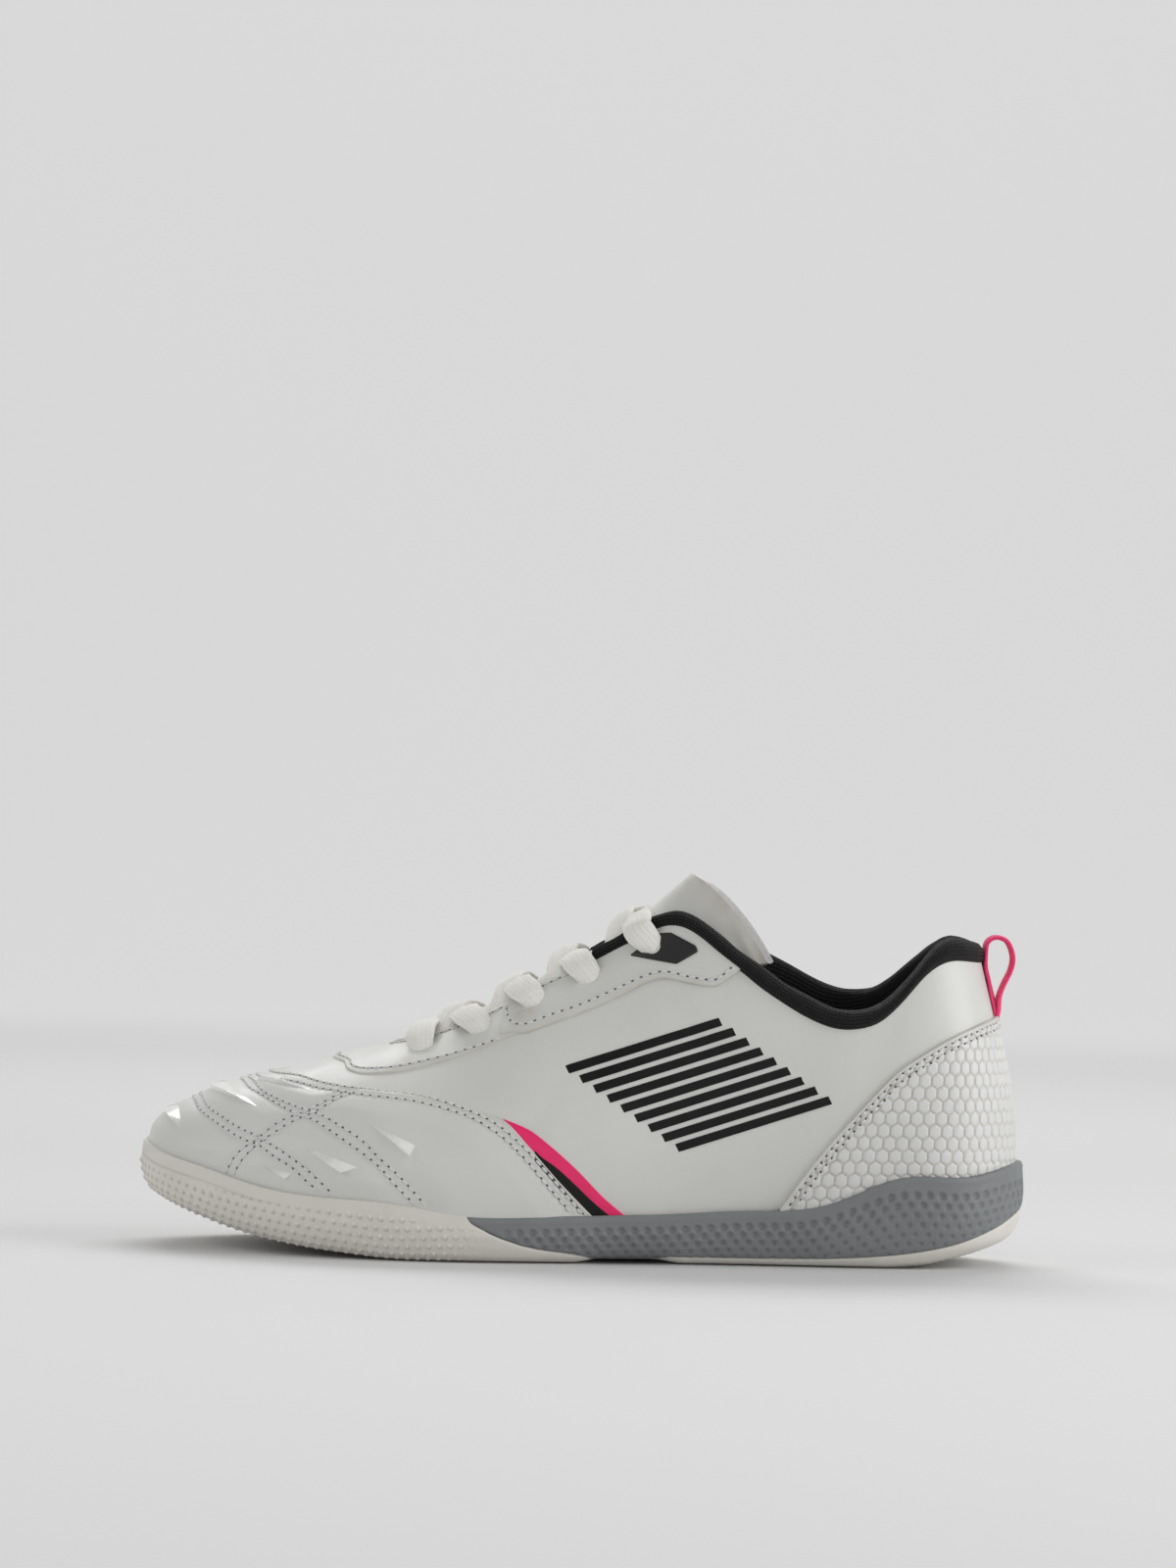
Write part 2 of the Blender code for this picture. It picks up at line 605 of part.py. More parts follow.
class TongueForm:
    """The tongue's face: a spine in the middle plane with a trough-shaped section square to it."""

    def __init__(self):
        rows = np.array([t for t in TONGUE], float)
        spine = np.column_stack([lengthwise(rows[:, 0]), rows[:, 1]])
        self.reach = np.concatenate([[0], np.cumsum(np.linalg.norm(np.diff(spine, axis=0), axis=1))])
        self.columns = [monotone_curve(self.reach, c) for c in (spine[:, 0], spine[:, 1], *rows[:, 2:].T)]

    def frame(self, along, across):
        """Face point, inward normal and spine direction, at a length along it and a share across."""
        x, z, half, drop, _ = (float(c(along)) for c in self.columns)
        ahead, behind = min(along + SPINE_NUDGE, self.reach[-1]), max(along - SPINE_NUDGE, 0)
        run = np.array([float(c(ahead)) - float(c(behind)) for c in self.columns[:2]])
        run /= np.linalg.norm(run)
        under = np.array([run[1], 0.0, -run[0]])
        under = under if under[2] < 0 else -under
        steepness = TONGUE_ROUNDING * np.sign(across) * abs(across) ** (TONGUE_ROUNDING - 1)
        slope = np.array([0.0, half, 0.0]) + under * drop * steepness
        side = slope / np.linalg.norm(slope)
        spine_way = np.array([run[0], 0.0, run[1]])
        inward = np.cross(spine_way, side)
        inward = inward if inward @ under > 0 else -inward
        face = np.array([x, half * across, z]) + under * drop * abs(across) ** TONGUE_ROUNDING
        return face, inward, spine_way

    def point(self, along, across, down=0.0, beyond=0.0):
        """Point sunk below the face, or set beyond it along the spine."""
        face, inward, spine_way = self.frame(along, across)
        return face + inward * down + spine_way * beyond

    def thickness(self, along):
        """Thickness of the plate at a length along the spine."""
        return float(self.columns[4](along))

    def along_at(self, station):
        """Length along the spine at a distance from the heel's end."""
        s = np.linspace(0, self.reach[-1], PLACE_STEPS)
        x = np.array([float(self.columns[0](a)) for a in s])
        return float(np.interp(-lengthwise(station), -x, s))


def build_tongue(tongue, material):
    """Padded tongue, one bent plate from under the vamp to its free top."""
    across = np.linspace(-1, 1, TONGUE_BREADTH_STEPS + 1)
    rings = []
    for share in np.linspace(0, 1, TONGUE_LENGTH_STEPS + 1):
        along = share * tongue.reach[-1]
        thick = tongue.thickness(along)
        corners = 4 * across**2 * (1 - across**2)
        swell = TONGUE_TOP_SWELL * share**TONGUE_SWELL_POWER * corners
        overhang = TONGUE_LINING_OVERHANG * share**TONGUE_OVERHANG_POWER
        face = [tongue.point(along, a, 0.0, b) for a, b in zip(across, swell)]
        back = [tongue.point(along, a, thick, b + overhang) for a, b in zip(across[::-1], swell[::-1])]
        rings.append(face + back)
    rings = np.array(rings)
    count = rings.shape[1]
    width = len(across)
    faces = bands(len(rings), count, wrap_rows=False, wrap_columns=True)
    last_start = (len(rings) - 1) * count
    for start in (0, last_start):
        for i in range(width - 1):
            faces.append((start + i, start + i + 1, start + count - 2 - i, start + count - 1 - i))
    add_solid("tongue", rings.reshape(-1, 3), faces, material)


def sweep(path, across, up, width, thickness):
    """Points and faces of a flat tape along a path, given its breadth and thickness directions."""
    half, rise = width / 2, thickness / 2
    rings = [
        (p - a * half - n * rise, p + a * half - n * rise, p + a * half + n * rise, p - a * half + n * rise)
        for p, a, n in zip(path, across, up)
    ]
    points = np.array(rings).reshape(-1, 3)
    end = 4 * (len(rings) - 1)
    faces = bands(len(rings), 4, wrap_rows=False, wrap_columns=True)
    faces += [(0, 1, 2, 3), (end, end + 1, end + 2, end + 3)]
    return points, faces


def build_pull_loop(last, material):
    """Webbing loop sewn to the heel's back: one leg on the wall, a turn, and the other leg behind it."""
    stand = GAP + LOOP_THICKNESS / 2
    leg = [last.below_top(0.0, drop, stand) for drop in LOOP_LEG_DROPS]
    turn = [np.array([float(lengthwise(t.station)), 0.0, t.height]) for t in LOOP_TURN]
    path = np.array(leg + turn)
    run = np.gradient(path, axis=0)
    run /= np.linalg.norm(run, axis=1, keepdims=True)
    across = np.tile([0.0, 1.0, 0.0], (len(path), 1))
    points, faces = sweep(path, across, np.cross(run, across), LOOP_WIDTH, LOOP_THICKNESS)
    add_solid("pull_loop", points, faces, material)


def lace_guides(last, tongue, start, end, layer):
    """Corners and normals of one lace run over the throat, from start to end (eyelet row, inner side).

    A crossing comes out on the tongue beside the start row; the bar starts at an eyelet of its own row.
    """
    lift = LACE_LIFT + LACE_THICKNESS / 2

    def over_edge(row, inner):
        eyelet = EYELETS[row]
        u = last.u_at_top(eyelet.station, inner)
        bound = eyelet.station < COLLAR_FRONT_STATION
        rise = lift + (COLLAR_CHEEK + GAP if bound else 0.0)
        lead = COLLAR[-1].band + LACE_BINDING_LEAD if bound else LACE_LEAD
        drops = (-lead, LACE_EDGE_SHARE * eyelet.drop, eyelet.drop)
        points = [last.below_top(u, d, rise) for d in drops]
        normals = [last.below_top(u, max(d, 0), 1.0) - last.below_top(u, max(d, 0)) for d in drops]
        return points, normals

    def on_tongue(station, share, height):
        along = tongue.along_at(station)
        face, inward, _ = tongue.frame(along, share)
        return face - inward * height, -inward

    row, inner = start
    near, far = EYELETS[row], EYELETS[end[0]]
    end_points, end_normals = over_edge(*end)
    if row == end[0]:
        points, normals = over_edge(*start)
        points, normals = points[::-1], normals[::-1]
    else:
        edge = last.below_top(last.u_at_top(near.station, inner), 0.0)
        half = float(tongue.columns[2](tongue.along_at(near.station)))
        point, normal = on_tongue(near.station - LACE_START_BACK, LACE_START_SHARE * edge[1] / half, lift)
        points, normals = [point], [normal]
    middle, upright = on_tongue((near.station + far.station) / 2, 0.0, lift + layer * LACE_THICKNESS)
    corners = np.array([*points, middle, *end_points])
    return corners, np.array([*normals, upright, *end_normals])


def lace_run(last, tongue, start, end, layer):
    """Points and faces of one flat run of lace, lying on the wall and over the tongue."""
    corners, normals = lace_guides(last, tongue, start, end, layer)
    reach = np.concatenate([[0], np.cumsum(np.linalg.norm(np.diff(corners, axis=0), axis=1))])
    stops = np.linspace(0, reach[-1], LACE_STEPS)
    path = np.column_stack([monotone_curve(reach, c)(stops) for c in corners.T])
    up = np.column_stack([monotone_curve(reach, c)(stops) for c in normals.T])
    run = np.gradient(path, axis=0)
    run /= np.linalg.norm(run, axis=1, keepdims=True)
    sideways = np.cross(run, up)
    sideways /= np.linalg.norm(sideways, axis=1, keepdims=True)
    return sweep(path, sideways, np.cross(sideways, run), LACE_WIDTH, LACE_THICKNESS)


def build_laces(last, tongue, material):
    """The front bar, and each crossing as two runs joined where they meet."""
    points, faces = lace_run(last, tongue, (0, True), (0, False), BAR_LAYER)
    add_solid("lace_bar", points, faces, material)
    for row in range(len(EYELETS) - 1):
        name = f"lace_cross_{row + 1}"
        upper_run = lace_run(last, tongue, (row, True), (row + 1, False), OVER_LAYER)
        lower_run = lace_run(last, tongue, (row, False), (row + 1, True), UNDER_LAYER)
        over = add_solid(name, *upper_run, material)
        under = add_solid(name + "_under", *lower_run, material)
        under.hide_render = True
        under.display_type = "WIRE"
        join = over.modifiers.new("crossing", "BOOLEAN")
        join.operation = "UNION"
        join.object = under


def main():
    for old in list(bpy.data.objects):
        bpy.data.objects.remove(old, do_unlink=True)
    leather = add_material("white_leather", WHITE_LEATHER)
    mesh_lining = add_material("black_mesh", BLACK_MESH)
    pale = add_material("pale_rubber", PALE_RUBBER)
    grey = add_material("grey_rubber", GREY_RUBBER)
    cotton = add_material("lace_cotton", LACE_COTTON)
    webbing = add_material("pink_webbing", PINK_WEBBING)
    cloth = add_material("insole_cloth", INSOLE_CLOTH)
    last = Last()
    tongue = TongueForm()
    build_sole(last, pale, grey)
    build_insole(last, cloth)
    build_upper(last, leather)
    build_counter(last, leather)
    build_collar(last, mesh_lining)
    build_tongue(tongue, leather)
    build_laces(last, tongue, cotton)
    build_pull_loop(last, webbing)


main()
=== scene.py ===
"""Looks of a left indoor court shoe.

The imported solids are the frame.  This script drapes fine meshes over the same last: the upper with
its sewn panels, the three rubber pieces of the cupsole, heel counter, padded collar, tongue, lace,
pull loop and insole.  Sizes are in millimetres until a mesh is made, and meshes are in metres.
Frame: +X towards the toe, +Y towards the outer side, +Z up, origin on the floor under the middle.
"""

from __future__ import annotations

import logging
import math
from collections.abc import Callable, Sequence
from dataclasses import dataclass, field, replace
from enum import Enum
from typing import Any, NamedTuple

import bpy
import numpy as np
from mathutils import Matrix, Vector
from mathutils.bvhtree import BVHTree

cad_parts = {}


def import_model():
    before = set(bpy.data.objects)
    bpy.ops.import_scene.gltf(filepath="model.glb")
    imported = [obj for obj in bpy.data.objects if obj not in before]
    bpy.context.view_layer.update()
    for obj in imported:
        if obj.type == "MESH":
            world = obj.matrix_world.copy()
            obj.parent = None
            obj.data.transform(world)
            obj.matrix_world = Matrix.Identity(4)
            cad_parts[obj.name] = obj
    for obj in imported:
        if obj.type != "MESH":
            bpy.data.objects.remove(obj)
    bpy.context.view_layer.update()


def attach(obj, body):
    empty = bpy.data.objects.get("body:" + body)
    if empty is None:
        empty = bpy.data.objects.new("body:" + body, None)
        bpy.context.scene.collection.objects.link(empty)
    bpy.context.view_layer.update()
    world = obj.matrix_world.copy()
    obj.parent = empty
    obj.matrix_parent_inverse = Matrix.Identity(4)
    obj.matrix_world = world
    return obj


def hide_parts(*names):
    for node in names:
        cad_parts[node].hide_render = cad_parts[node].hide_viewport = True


LOG = logging.getLogger("court_shoe")
MM = 0.001
BODY = "root"
SHOE_LENGTH = 270.0
WALL = 2.0
GAP = 0.3
PLACE_NUDGE = 0.05
SHARE_NUDGE = 0.001
SEED = 7

Array = np.ndarray
Curve = Callable[[Array], Array]
Pixel = tuple[float, float]
Colour = tuple[float, float, float]
Socket = bpy.types.NodeSocket
Source = Socket | float | Colour
Relief = Callable[[Array, Array, Array], Array]


class Slot(Enum):
    """Material slots of the record."""

    LEATHER = "white_leather"
    MESH = "black_mesh"
    PALE_RUBBER = "pale_rubber"
    GREY_RUBBER = "grey_rubber"
    COTTON = "lace_cotton"
    WEBBING = "pink_webbing"
    CLOTH = "insole_cloth"


class Side(Enum):
    """The two long sides of the shoe."""

    OUTER = 1
    INNER = -1


class Rib(NamedTuple):
    """One rib of the last, from the sole's rim to the topline."""

    name: str
    station: float
    out: float
    inn: float
    rim: float
    ledge: float
    top_x: float
    top_y: float
    top_out: float
    top_in: float
    rise: float
    flare: float
    reach: float
    dip: float


RIBS = (
    Rib("heel_back", 0, 0.0, 0.0, 31.5, 3.8, 15.0, 0.0, 93.0, 93.0, 22, 0.6, 4.0, 17.0),
    Rib("heel_corner", 7, 19.0, 19.0, 30.0, 3.8, 16.5, 9.0, 93.3, 93.3, 22, 0.8, 5.0, 17.0),
    Rib("heel_round", 20, 29.5, 29.5, 27.8, 3.7, 22.0, 17.5, 94.0, 94.0, 22, 1.5, 5.5, 18.0),
    Rib("heel_side", 40, 33.5, 32.5, 27.2, 3.5, 34.0, 25.5, 88.0, 87.0, 20, 2.5, 6.0, 20.0),
    Rib("heel_dip", 51, 34.0, 32.3, 23.0, 3.3, 44.0, 28.8, 77.0, 78.5, 18, 3.0, 5.0, 18.0),
    Rib("ankle", 62, 34.2, 31.6, 18.7, 3.1, 54.0, 31.0, 72.8, 76.6, 18, 3.5, 3.5, 16.0),
    Rib("waist_back", 85, 35.0, 29.8, 16.6, 2.8, 75.0, 30.5, 79.8, 85.0, 20, 3.0, 4.5, 20.0),
    Rib("waist", 108, 37.5, 29.2, 15.2, 2.6, 98.0, 25.0, 96.5, 98.0, 24, 2.0, 7.0, 23.0),
    Rib("collar_corner", 120, 39.5, 30.3, 14.8, 2.5, 110.0, 19.5, 101.6, 102.2, 26, 2.0, 9.0, 20.0),
    Rib("waist_front", 130, 41.5, 32.2, 14.5, 2.5, 123.0, 15.5, 95.0, 95.0, 26, 2.0, 13.0, 16.0),
    Rib("instep", 150, 45.5, 38.5, 13.9, 2.5, 145.0, 13.0, 84.0, 84.0, 25, 2.0, 15.0, 12.0),
    Rib("ball_back", 170, 48.0, 45.0, 14.0, 2.5, 165.0, 10.5, 73.0, 73.0, 25, 2.5, 17.0, 9.5),
    Rib("ball", 190, 48.0, 47.9, 16.8, 2.5, 181.0, 8.5, 66.3, 66.3, 25, 2.0, 16.0, 7.0),
    Rib("toe_back", 210, 45.0, 47.9, 18.0, 2.4, 190.5, 6.3, 63.6, 63.6, 24, 0.0, 22.0, 8.0),
    Rib("toe_side", 230, 38.0, 45.0, 20.0, 2.3, 194.0, 4.0, 62.6, 62.6, 20.5, -2.0, 28.0, 9.5),
    Rib("toe_round", 248, 27.0, 37.5, 24.6, 2.2, 195.3, 2.2, 62.2, 62.2, 18.5, -4.0, 34.0, 10.0),
    Rib("toe_corner", 264, 12.5, 25.0, 28.6, 2.1, 195.9, 1.0, 62.05, 62.05, 16.5, -6.5, 39.0, 11.0),
    Rib("toe_tip", 270, -8.0, 8.0, 31.2, 2.1, 196.0, 0.0, 62.0, 62.0, 15.5, -8.0, 42.0, 11.5),
)
ROUND_RIBS = 2 * (len(RIBS) - 1)


class Ground(NamedTuple):
    """Heights of the tread and of the cup's bed at a distance from the heel's end."""

    station: float
    tread: float
    bed: float


GROUND = (
    Ground(0, 12.0, 17.2), Ground(9, 7.0, 17.0), Ground(20, 3.8, 16.4), Ground(34, 0.9, 15.6),
    Ground(46, 0.0, 14.8), Ground(80, 0.0, 11.6), Ground(110, 0.0, 8.4), Ground(140, 0.0, 6.6),
    Ground(170, 0.0, 6.5), Ground(185, 0.0, 7.0), Ground(209, 1.8, 9.0), Ground(229, 4.6, 12.0),
    Ground(248, 9.6, 16.0), Ground(261, 15.0, 19.6), Ground(270, 20.0, 22.0),
)


def periodic_spline(knots: Array, values: Array) -> Curve:
    """Smooth closed curve through a table.

    Args:
        knots: places of the values, with the period as one more entry.
        values: one row for each knot but the last.

    Returns:
        A function of the place.
    """
    values = np.asarray(values, float)
    count = len(values)
    steps = np.diff(knots)
    before, same = np.roll(steps, 1), np.eye(count)
    system = before[:, None] * np.roll(same, -1, 1) + steps[:, None] * np.roll(same, 1, 1)
    system += np.diag(2 * (before + steps))
    rises = ((np.roll(values, -1, 0) - values).T / steps).T
    right = 6 * (rises - np.roll(rises, 1, 0))
    bend = np.linalg.solve(system, right.reshape(count, -1)).reshape(values.shape)

    def curve(u: Array) -> Array:
        """Value of the curve.

        Args:
            u: places.

        Returns:
            One value for each place.
        """
        u = np.mod(np.asarray(u, float), knots[-1])
        i = np.clip(np.searchsorted(knots, u, side="right") - 1, 0, count - 1)
        j = (i + 1) % count
        step = steps[i]
        a = (knots[i + 1] - u) / step
        b = (u - knots[i]) / step
        a, b, step = (q.reshape(q.shape + (1,) * (values.ndim - 1)) for q in (a, b, step))
        cubic = ((a**3 - a) * bend[i] + (b**3 - b) * bend[j]) * step**2 / 6
        return a * values[i] + b * values[j] + cubic

    return curve


def monotone_curve(xs: Sequence[float], ys: Sequence[float]) -> Curve:
    """Smooth curve through a table that never overshoots it.

    Args:
        xs: rising places.
        ys: their values.

    Returns:
        A function of the place.
    """
    xs, ys = np.asarray(xs, float), np.asarray(ys, float)
    slopes = np.diff(ys) / np.diff(xs)
    tangents = np.zeros_like(ys)
    same = slopes[:-1] * slopes[1:] > 0
    harmonic = np.zeros_like(slopes[:-1])
    harmonic[same] = 2 / (1 / slopes[:-1][same] + 1 / slopes[1:][same])
    tangents[1:-1] = harmonic
    tangents[0], tangents[-1] = slopes[0], slopes[-1]

    def curve(x: Array) -> Array:
        """Value of the curve.

        Args:
            x: places.

        Returns:
            One value for each place.
        """
        x = np.clip(x, xs[0], xs[-1])
        i = np.clip(np.searchsorted(xs, x, side="right") - 1, 0, len(xs) - 2)
        step = xs[i + 1] - xs[i]
        t = (x - xs[i]) / step
        start = (1 + 2 * t) * (1 - t) ** 2 * ys[i] + t * (1 - t) ** 2 * step * tangents[i]
        end = t**2 * (3 - 2 * t) * ys[i + 1] + t**2 * (t - 1) * step * tangents[i + 1]
        return start + end

    return curve


def lengthwise(station: Array | float) -> Array:
    """X of a distance from the heel's end."""
    return np.asarray(station, float) - SHOE_LENGTH / 2


def around(outer: str, inner: str = "", sign: float = 1.0) -> Array:
    """A rib column round the shoe: heel, outer side, toe, then the inner side's column times a sign."""
    far_side = [sign * getattr(r, inner or outer) for r in RIBS[-2:0:-1]]
    return np.array([getattr(r, outer) for r in RIBS] + far_side, float)


def lengths_along(points: Array) -> Array:
    """Running length of a chain of points, starting from 0."""
    return np.concatenate([[0.0], np.cumsum(np.linalg.norm(np.diff(points, axis=0), axis=1))])


def unit(vectors: Array) -> Array:
    """Vectors scaled to length 1."""
    return vectors / np.maximum(np.linalg.norm(vectors, axis=-1, keepdims=True), 1e-9)


def smooth_step(low: float, high: float, value: Array) -> Array:
    """0 below low, 1 above high, and an even ease between them."""
    t = np.clip((np.asarray(value, float) - low) / (high - low), 0, 1)
    return t * t * (3 - 2 * t)


class Last:
    """The shoe's wall: a loft of ribs round the outline, each a cubic from the rim to the topline."""

    def __init__(self) -> None:
        """Fits closed curves through the rib table."""
        corners = np.stack([lengthwise(around("station")), around("out", "inn", -1.0)], axis=-1)
        chords = np.linalg.norm(np.roll(corners, -1, axis=0) - corners, axis=1)
        self.knots = np.concatenate([[0.0], np.cumsum(chords)])
        self.period = float(self.knots[-1])
        self.outline = periodic_spline(self.knots, corners)
        self.rim = periodic_spline(self.knots, around("rim"))
        self.ledge = periodic_spline(self.knots, around("ledge"))
        self.handles = periodic_spline(self.knots, self.rib_handles())
        stations = lengthwise([g.station for g in GROUND])
        self.tread = monotone_curve(stations, [g.tread for g in GROUND])
        self.bed = monotone_curve(stations, [g.bed for g in GROUND])

    def outward(self, u: Array) -> Array:
        """Unit plan normal of the outline, pointing out of the shoe."""
        u = np.asarray(u, float)
        along = unit(self.outline(u + PLACE_NUDGE) - self.outline(u - PLACE_NUDGE))
        return np.stack([-along[..., 1], along[..., 0]], axis=-1)

    def inset(self, u: Array, distance: Array | float) -> Array:
        """Point of the outline moved inwards, in plan."""
        return self.outline(u) - np.asarray(distance)[..., None] * self.outward(u)

    def rib_handles(self) -> Array:
        """The four control points of every rib.

        Returns:
            Four points for each rib, from the rim to the topline.
        """
        u = self.knots[:-1]
        foot = np.column_stack([self.inset(u, self.ledge(u)), self.rim(u)])
        top_y = around("top_y", sign=-1.0)
        top = np.column_stack([lengthwise(around("top_x")), top_y, around("top_out", "top_in")])
        rise, flare, reach, dip = (around(c) for c in ("rise", "flare", "reach", "dip"))
        low = foot + np.column_stack([self.outward(u) * flare[:, None], rise])
        towards = unit(foot[:, :2] - top[:, :2])
        high = top + np.column_stack([towards * reach[:, None], -dip])
        return np.stack([foot, low, high, top], axis=1)

    def u_of(self, rib_name: str, side: Side = Side.OUTER) -> float:
        """Place of a named rib round the outline."""
        index = next(i for i, r in enumerate(RIBS) if r.name == rib_name)
        return float(self.knots[index] if side is Side.OUTER else self.knots[ROUND_RIBS - index])

    def round_heel(self, rib_names: Sequence[str]) -> list[float]:
        """Places of ribs given from the heel's back forwards: inner side, below 0, then outer side."""
        inner = [self.u_of(name, Side.INNER) - self.period for name in rib_names[:0:-1]]
        return inner + [self.u_of(name) for name in rib_names]

    def mirrored(self, u: Array) -> Array:
        """The place on the other long side that belongs to the same row of the rib table."""
        count = np.arange(len(self.knots))
        index = np.interp(np.mod(u, self.period), self.knots, count)
        return np.interp(ROUND_RIBS - index, count, self.knots)

    def on_side(self, u: Array, side: Side) -> Array:
        """A place given for the outer side, on the wanted side."""
        return np.asarray(u, float) if side is Side.OUTER else self.mirrored(u)

    def u_at_top(self, station: float, side: Side = Side.OUTER) -> float:
        """Place whose topline point is that far from the heel's end, on the throat or collar front."""
        u = np.linspace(self.u_of("ankle", side), self.u_of("toe_tip", side), 400)
        return float(np.interp(lengthwise(station), self.handles(u)[:, 3, 0], u))

    def bare(self, u: Array, v: Array) -> Array:
        """Points of the outer face.

        Args:
            u: places round the outline.
            v: shares of the rib, 0 at the rim and 1 at the topline.

        Returns:
            The points.
        """
        p = self.handles(u)
        v = np.asarray(v, float)[..., None]
        w = 1 - v
        weights = (w**3, 3 * w**2 * v, 3 * w * v**2, v**3)
        return sum(weight * p[..., i, :] for i, weight in enumerate(weights))

    def normal(self, u: Array, v: Array) -> Array:
        """Outward unit normal of the outer face.

        Args:
            u: places round the outline.
            v: shares of the rib.

        Returns:
            The normals.
        """
        v = np.clip(v, 0, 1)
        low, high = np.maximum(v - SHARE_NUDGE, 0), np.minimum(v + SHARE_NUDGE, 1)
        along = self.bare(u + PLACE_NUDGE, v) - self.bare(u - PLACE_NUDGE, v)
        return unit(np.cross(self.bare(u, high) - self.bare(u, low), along))

    def face(self, u: Array, v: Array, out: Array | float = 0.0) -> Array:
        """Points of the outer face, moved out along its normal (in, where out is negative)."""
        u, v = np.broadcast_arrays(np.asarray(u, float), np.asarray(v, float))
        return self.bare(u, v) + np.asarray(out)[..., None] * self.normal(u, v)

    def v_below_top(self, u: Array, drop: Array) -> Array:
        """Share of the rib at a distance down from the topline.

        Args:
            u: places round the outline.
            drop: distances down the rib.

        Returns:
            One share for each place.
        """
        share = np.linspace(0, 1, 60)
        u, drop = np.broadcast_arrays(np.atleast_1d(np.asarray(u, float)), np.asarray(drop, float))
        found = np.empty(len(u))
        for i, (place, down) in enumerate(zip(u, drop)):
            run = lengths_along(self.bare(place, share))
            found[i] = np.interp(run[-1] - down, run, share)
        return found

    def below_top(self, u: float, drop: float, out: float = 0.0) -> Array:
        """Point of the wall at a distance down its rib from the topline.

        Args:
            u: place round the outline.
            drop: the distance, negative for a point above the topline.
            out: how far it is moved out.

        Returns:
            The point.
        """
        if drop >= 0:
            return self.face(u, self.v_below_top(u, drop)[0], out)
        rib = self.bare(np.full(2, u), np.array([1 - 20 * SHARE_NUDGE, 1.0]))
        return self.face(u, 1.0, out) - drop * unit(rib[1] - rib[0])

    def v_at_height(self, u: Array, height: Array) -> Array:
        """Share of the rib where the wall reaches a height.

        Args:
            u: places round the outline.
            height: heights over the floor.

        Returns:
            One share for each place.
        """
        share = np.linspace(0, 1, 80)
        u, height = np.broadcast_arrays(np.atleast_1d(np.asarray(u, float)), np.asarray(height, float))
        rows = [self.bare(place, share)[:, 2] for place in u]
        return np.array([np.interp(h, row, share) for h, row in zip(height, rows)])


@dataclass
class Patch:
    """Points in millimetres with their faces, and named values for each point."""

    points: Array
    faces: list[tuple[int, ...]]
    values: dict[str, Array] = field(default_factory=dict)
    look: int = 0

    def flipped(self) -> Patch:
        """The same patch with its faces turned round."""
        return Patch(self.points, [f[::-1] for f in self.faces], self.values, self.look)

    def facing(self, way: Sequence[float]) -> Patch:
        """The patch, turned round if its faces look against a direction."""
        a, b, c = (self.points[[f[i] for f in self.faces]] for i in range(3))
        return self if (np.cross(b - a, c - a) @ np.asarray(way)).sum() >= 0 else self.flipped()


def grid_faces(rows: int, columns: int, wrap: bool = False) -> list[tuple[int, ...]]:
    """Quads of a grid, wound so that they face out where rows run up the wall and columns round it.

    Args:
        rows: number of rows of points.
        columns: number of points in a row.
        wrap: whether the last column joins the first.

    Returns:
        The faces, as indices into the points in row order.
    """
    last_column = columns if wrap else columns - 1
    row, column = np.mgrid[0 : rows - 1, 0:last_column]
    here = row * columns + column
    beside = row * columns + (column + 1) % columns
    return np.stack([here, here + columns, beside + columns, beside], -1).reshape(-1, 4).tolist()


def grid_patch(points: Array, wrap: bool = False, look: int = 0, **values: Array) -> Patch:
    """A patch from an array of points in rows and columns, with values of the same shape."""
    rows, columns = points.shape[:2]
    flat = {name: np.broadcast_to(v, (rows, columns)).ravel() for name, v in values.items()}
    return Patch(points.reshape(-1, 3), grid_faces(rows, columns, wrap), flat, look)


def tube_patch(points: Array, along: Array, across: Array) -> Patch:
    """A tube with flat ends, one row of points for each line along it.

    Args:
        points: points in rows along the tube and columns round it.
        along: length along the tube, for each column.
        across: length round the tube, for each point.

    Returns:
        A closed patch with both lengths as values.
    """
    count = points.shape[1]
    closed, girth = (np.concatenate([a, a[:1]]) for a in (points, across))
    patch = grid_patch(closed, along=along, across=girth)
    rim = [i * count for i in range(len(points))]
    patch.faces += [rim[::-1], [i + count - 1 for i in rim]]
    return patch


def add_piece(
    name: str,
    patches: Sequence[Patch],
    looks: Sequence[bpy.types.Material],
    slot: Slot,
    stands_for: Sequence[str] = (),
    crease_deg: float = 50.0,
) -> bpy.types.Object:
    """Makes one visible piece from patches and fixes it to the shoe.

    Args:
        name: the piece's name.
        patches: what it is made of, each with the index of its material.
        looks: the materials.
        slot: not used.
        stands_for: the solids that it replaces.
        crease_deg: edges sharper than this stay sharp in the shading.

    Returns:
        The new object.
    """
    starts = np.cumsum([0] + [len(p.points) for p in patches])
    points = np.concatenate([p.points for p in patches]) * MM
    faces = [tuple(int(i + s) for i in f) for p, s in zip(patches, starts) for f in p.faces]
    mesh = bpy.data.meshes.new(name)
    mesh.from_pydata(points.tolist(), [], faces)
    mesh.polygons.foreach_set("material_index", [p.look for p in patches for _ in p.faces])
    for key in sorted({k for p in patches for k in p.values}):
        column = np.concatenate([p.values.get(key, np.zeros(len(p.points))) for p in patches])
        mesh.attributes.new(key, "FLOAT", "POINT").data.foreach_set("value", column.astype(np.float32))
    for look in looks:
        mesh.materials.append(look)
    mesh.shade_smooth()
    mesh.set_sharp_from_angle(angle=math.radians(crease_deg))
    mesh.validate()
    piece = bpy.data.objects.new(name, mesh)
    bpy.context.scene.collection.objects.link(piece)
    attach(piece, BODY)
    if stands_for:
        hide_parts(*stands_for)
    LOG.info("%s: %d points, %d faces", name, len(points), len(faces))
    return piece


